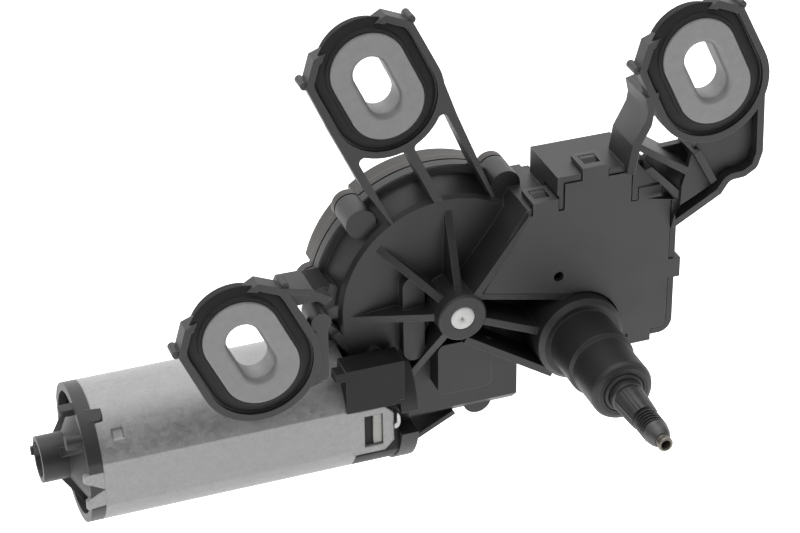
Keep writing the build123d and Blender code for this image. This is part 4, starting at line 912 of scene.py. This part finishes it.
class WIPER_OT_stage(bpy.types.Operator):
    """Set the pale floor, the soft lamps and the camera"""
    bl_idname = "wiper.stage"
    bl_label = "Stage"

    def floor(self):
        """A floor well below the part, plain white where it is seen or mirrored."""
        clear()
        size, drop = 6.0, 60 * MM
        bpy.ops.mesh.primitive_plane_add(size=size, location=(0, 0, CAD_BOX[0][2] - drop))
        piece = bpy.context.active_object
        piece.name = "studio_floor"
        recipe = Recipe(bpy.data.materials.new("studio white"))
        seen = recipe.node("ShaderNodeLightPath", output="Is Camera Ray")
        mirrored = recipe.node("ShaderNodeLightPath", output="Is Glossy Ray")
        recipe.set(
            Base_Color=(0.8, 0.8, 0.8), Roughness=1.0, Emission_Color=(1.0, 1.0, 1.0),
            Emission_Strength=(seen + mirrored).clamp())
        piece.data.materials.append(recipe.owner)

    def room(self, scene, sizes):
        """A white room, brighter overhead and brightest behind the part."""
        glow, overhead, behind = 0.10, 1.25, 2.1
        world = bpy.data.worlds.new("studio")
        scene.world = world
        room = Recipe(world, "Background")
        seen = room.node("ShaderNodeLightPath", output="Is Camera Ray")
        way = room.node("ShaderNodeTexCoord", output="Generated")
        height = room.node("ShaderNodeSeparateXYZ", None, {"Vector": way}, output="Z")
        depth = room.node("ShaderNodeSeparateXYZ", None, {"Vector": way}, output="Y")
        above = height.clamp()
        light = (glow + above * above * above * overhead + depth.clamp() * behind) * sizes.sky
        room.set(Color=(1.0, 1.0, 1.0), Strength=light * (1.0 - seen) + seen)

    def lamps(self, sizes):
        """Three soft lamps that point at the part."""
        for name, place, size, watts in (
                ("key", (-0.9, -0.9, 1.5), 0.9, sizes.key),
                ("fill", (1.2, -0.8, 0.8), 1.2, sizes.fill),
                ("top", (0.1, 0.3, 1.6), 1.2, sizes.top)):
            bpy.ops.object.light_add(type="AREA", location=place)
            lamp = bpy.context.active_object
            lamp.name = name
            lamp.data.size = size
            lamp.data.energy = watts
            lamp.rotation_euler = (-Vector(place)).to_track_quat("-Z", "Y").to_euler()

    def camera(self, scene, sizes):
        """The camera, turned by its azimuth and elevation and then rolled."""
        away = Vector((
            math.sin(sizes.azimuth) * math.cos(sizes.elevation),
            -math.cos(sizes.azimuth) * math.cos(sizes.elevation), math.sin(sizes.elevation)))
        right = Vector((math.cos(sizes.azimuth), math.sin(sizes.azimuth), 0))
        up = away.cross(right)
        across = right * math.cos(sizes.roll) + up * math.sin(sizes.roll)
        above = up * math.cos(sizes.roll) - right * math.sin(sizes.roll)
        bpy.ops.object.camera_add()
        stand = bpy.context.active_object
        turn = Matrix((across, above, away)).transposed().to_4x4()
        stand.matrix_world = Matrix.Translation(Vector(sizes.place)) @ turn
        stand.data.lens = sizes.lens
        stand.data.sensor_width = 36.0
        stand.data.clip_start = 0.01
        scene.camera = stand

    def execute(self, context):
        scene, sizes = context.scene, context.scene.wiper_stage
        self.floor()
        self.room(scene, sizes)
        self.lamps(sizes)
        self.camera(scene, sizes)
        scene.view_settings.view_transform = "Standard"
        return {"FINISHED"}


OPERATORS = (
    WIPER_OT_finishes, WIPER_OT_marks, WIPER_OT_mounts, WIPER_OT_spindle, WIPER_OT_motor,
    WIPER_OT_hub_pin, WIPER_OT_stage)
SETTINGS = {
    "wiper_mouldings": WIPER_PG_mouldings,
    "wiper_mounts": WIPER_PG_mounts,
    "wiper_spindle": WIPER_PG_spindle,
    "wiper_motor": WIPER_PG_motor,
    "wiper_stage": WIPER_PG_stage,
}


class WIPER_PT_panel(bpy.types.Panel):
    """The motor's pieces and their sizes"""
    bl_idname = "WIPER_PT_panel"
    bl_label = "Wiper Motor"
    bl_space_type = "VIEW_3D"
    bl_region_type = "UI"
    bl_category = "Wiper Motor"

    def draw(self, context):
        for operator in OPERATORS:
            self.layout.operator(operator.bl_idname)
        for name, group in SETTINGS.items():
            box = self.layout.box()
            box.label(text=group.__doc__.strip("."))
            for key in group.__annotations__:
                box.prop(getattr(context.scene, name), key)


def register():
    for group in SETTINGS.values():
        bpy.utils.register_class(group)
    for name, group in SETTINGS.items():
        setattr(bpy.types.Scene, name, PointerProperty(type=group))
    for operator in OPERATORS:
        bpy.utils.register_class(operator)
    bpy.utils.register_class(WIPER_PT_panel)


def unregister():
    bpy.utils.unregister_class(WIPER_PT_panel)
    for operator in reversed(OPERATORS):
        bpy.utils.unregister_class(operator)
    for name, group in SETTINGS.items():
        delattr(bpy.types.Scene, name)
        bpy.utils.unregister_class(group)


def main():
    register()
    bpy.ops.wiper.finishes()
    bpy.ops.wiper.marks()
    bpy.ops.wiper.mounts()
    bpy.ops.wiper.spindle()
    bpy.ops.wiper.motor()
    bpy.ops.wiper.hub_pin()
    bpy.ops.wiper.stage()


if __name__ == "__main__":
    main()
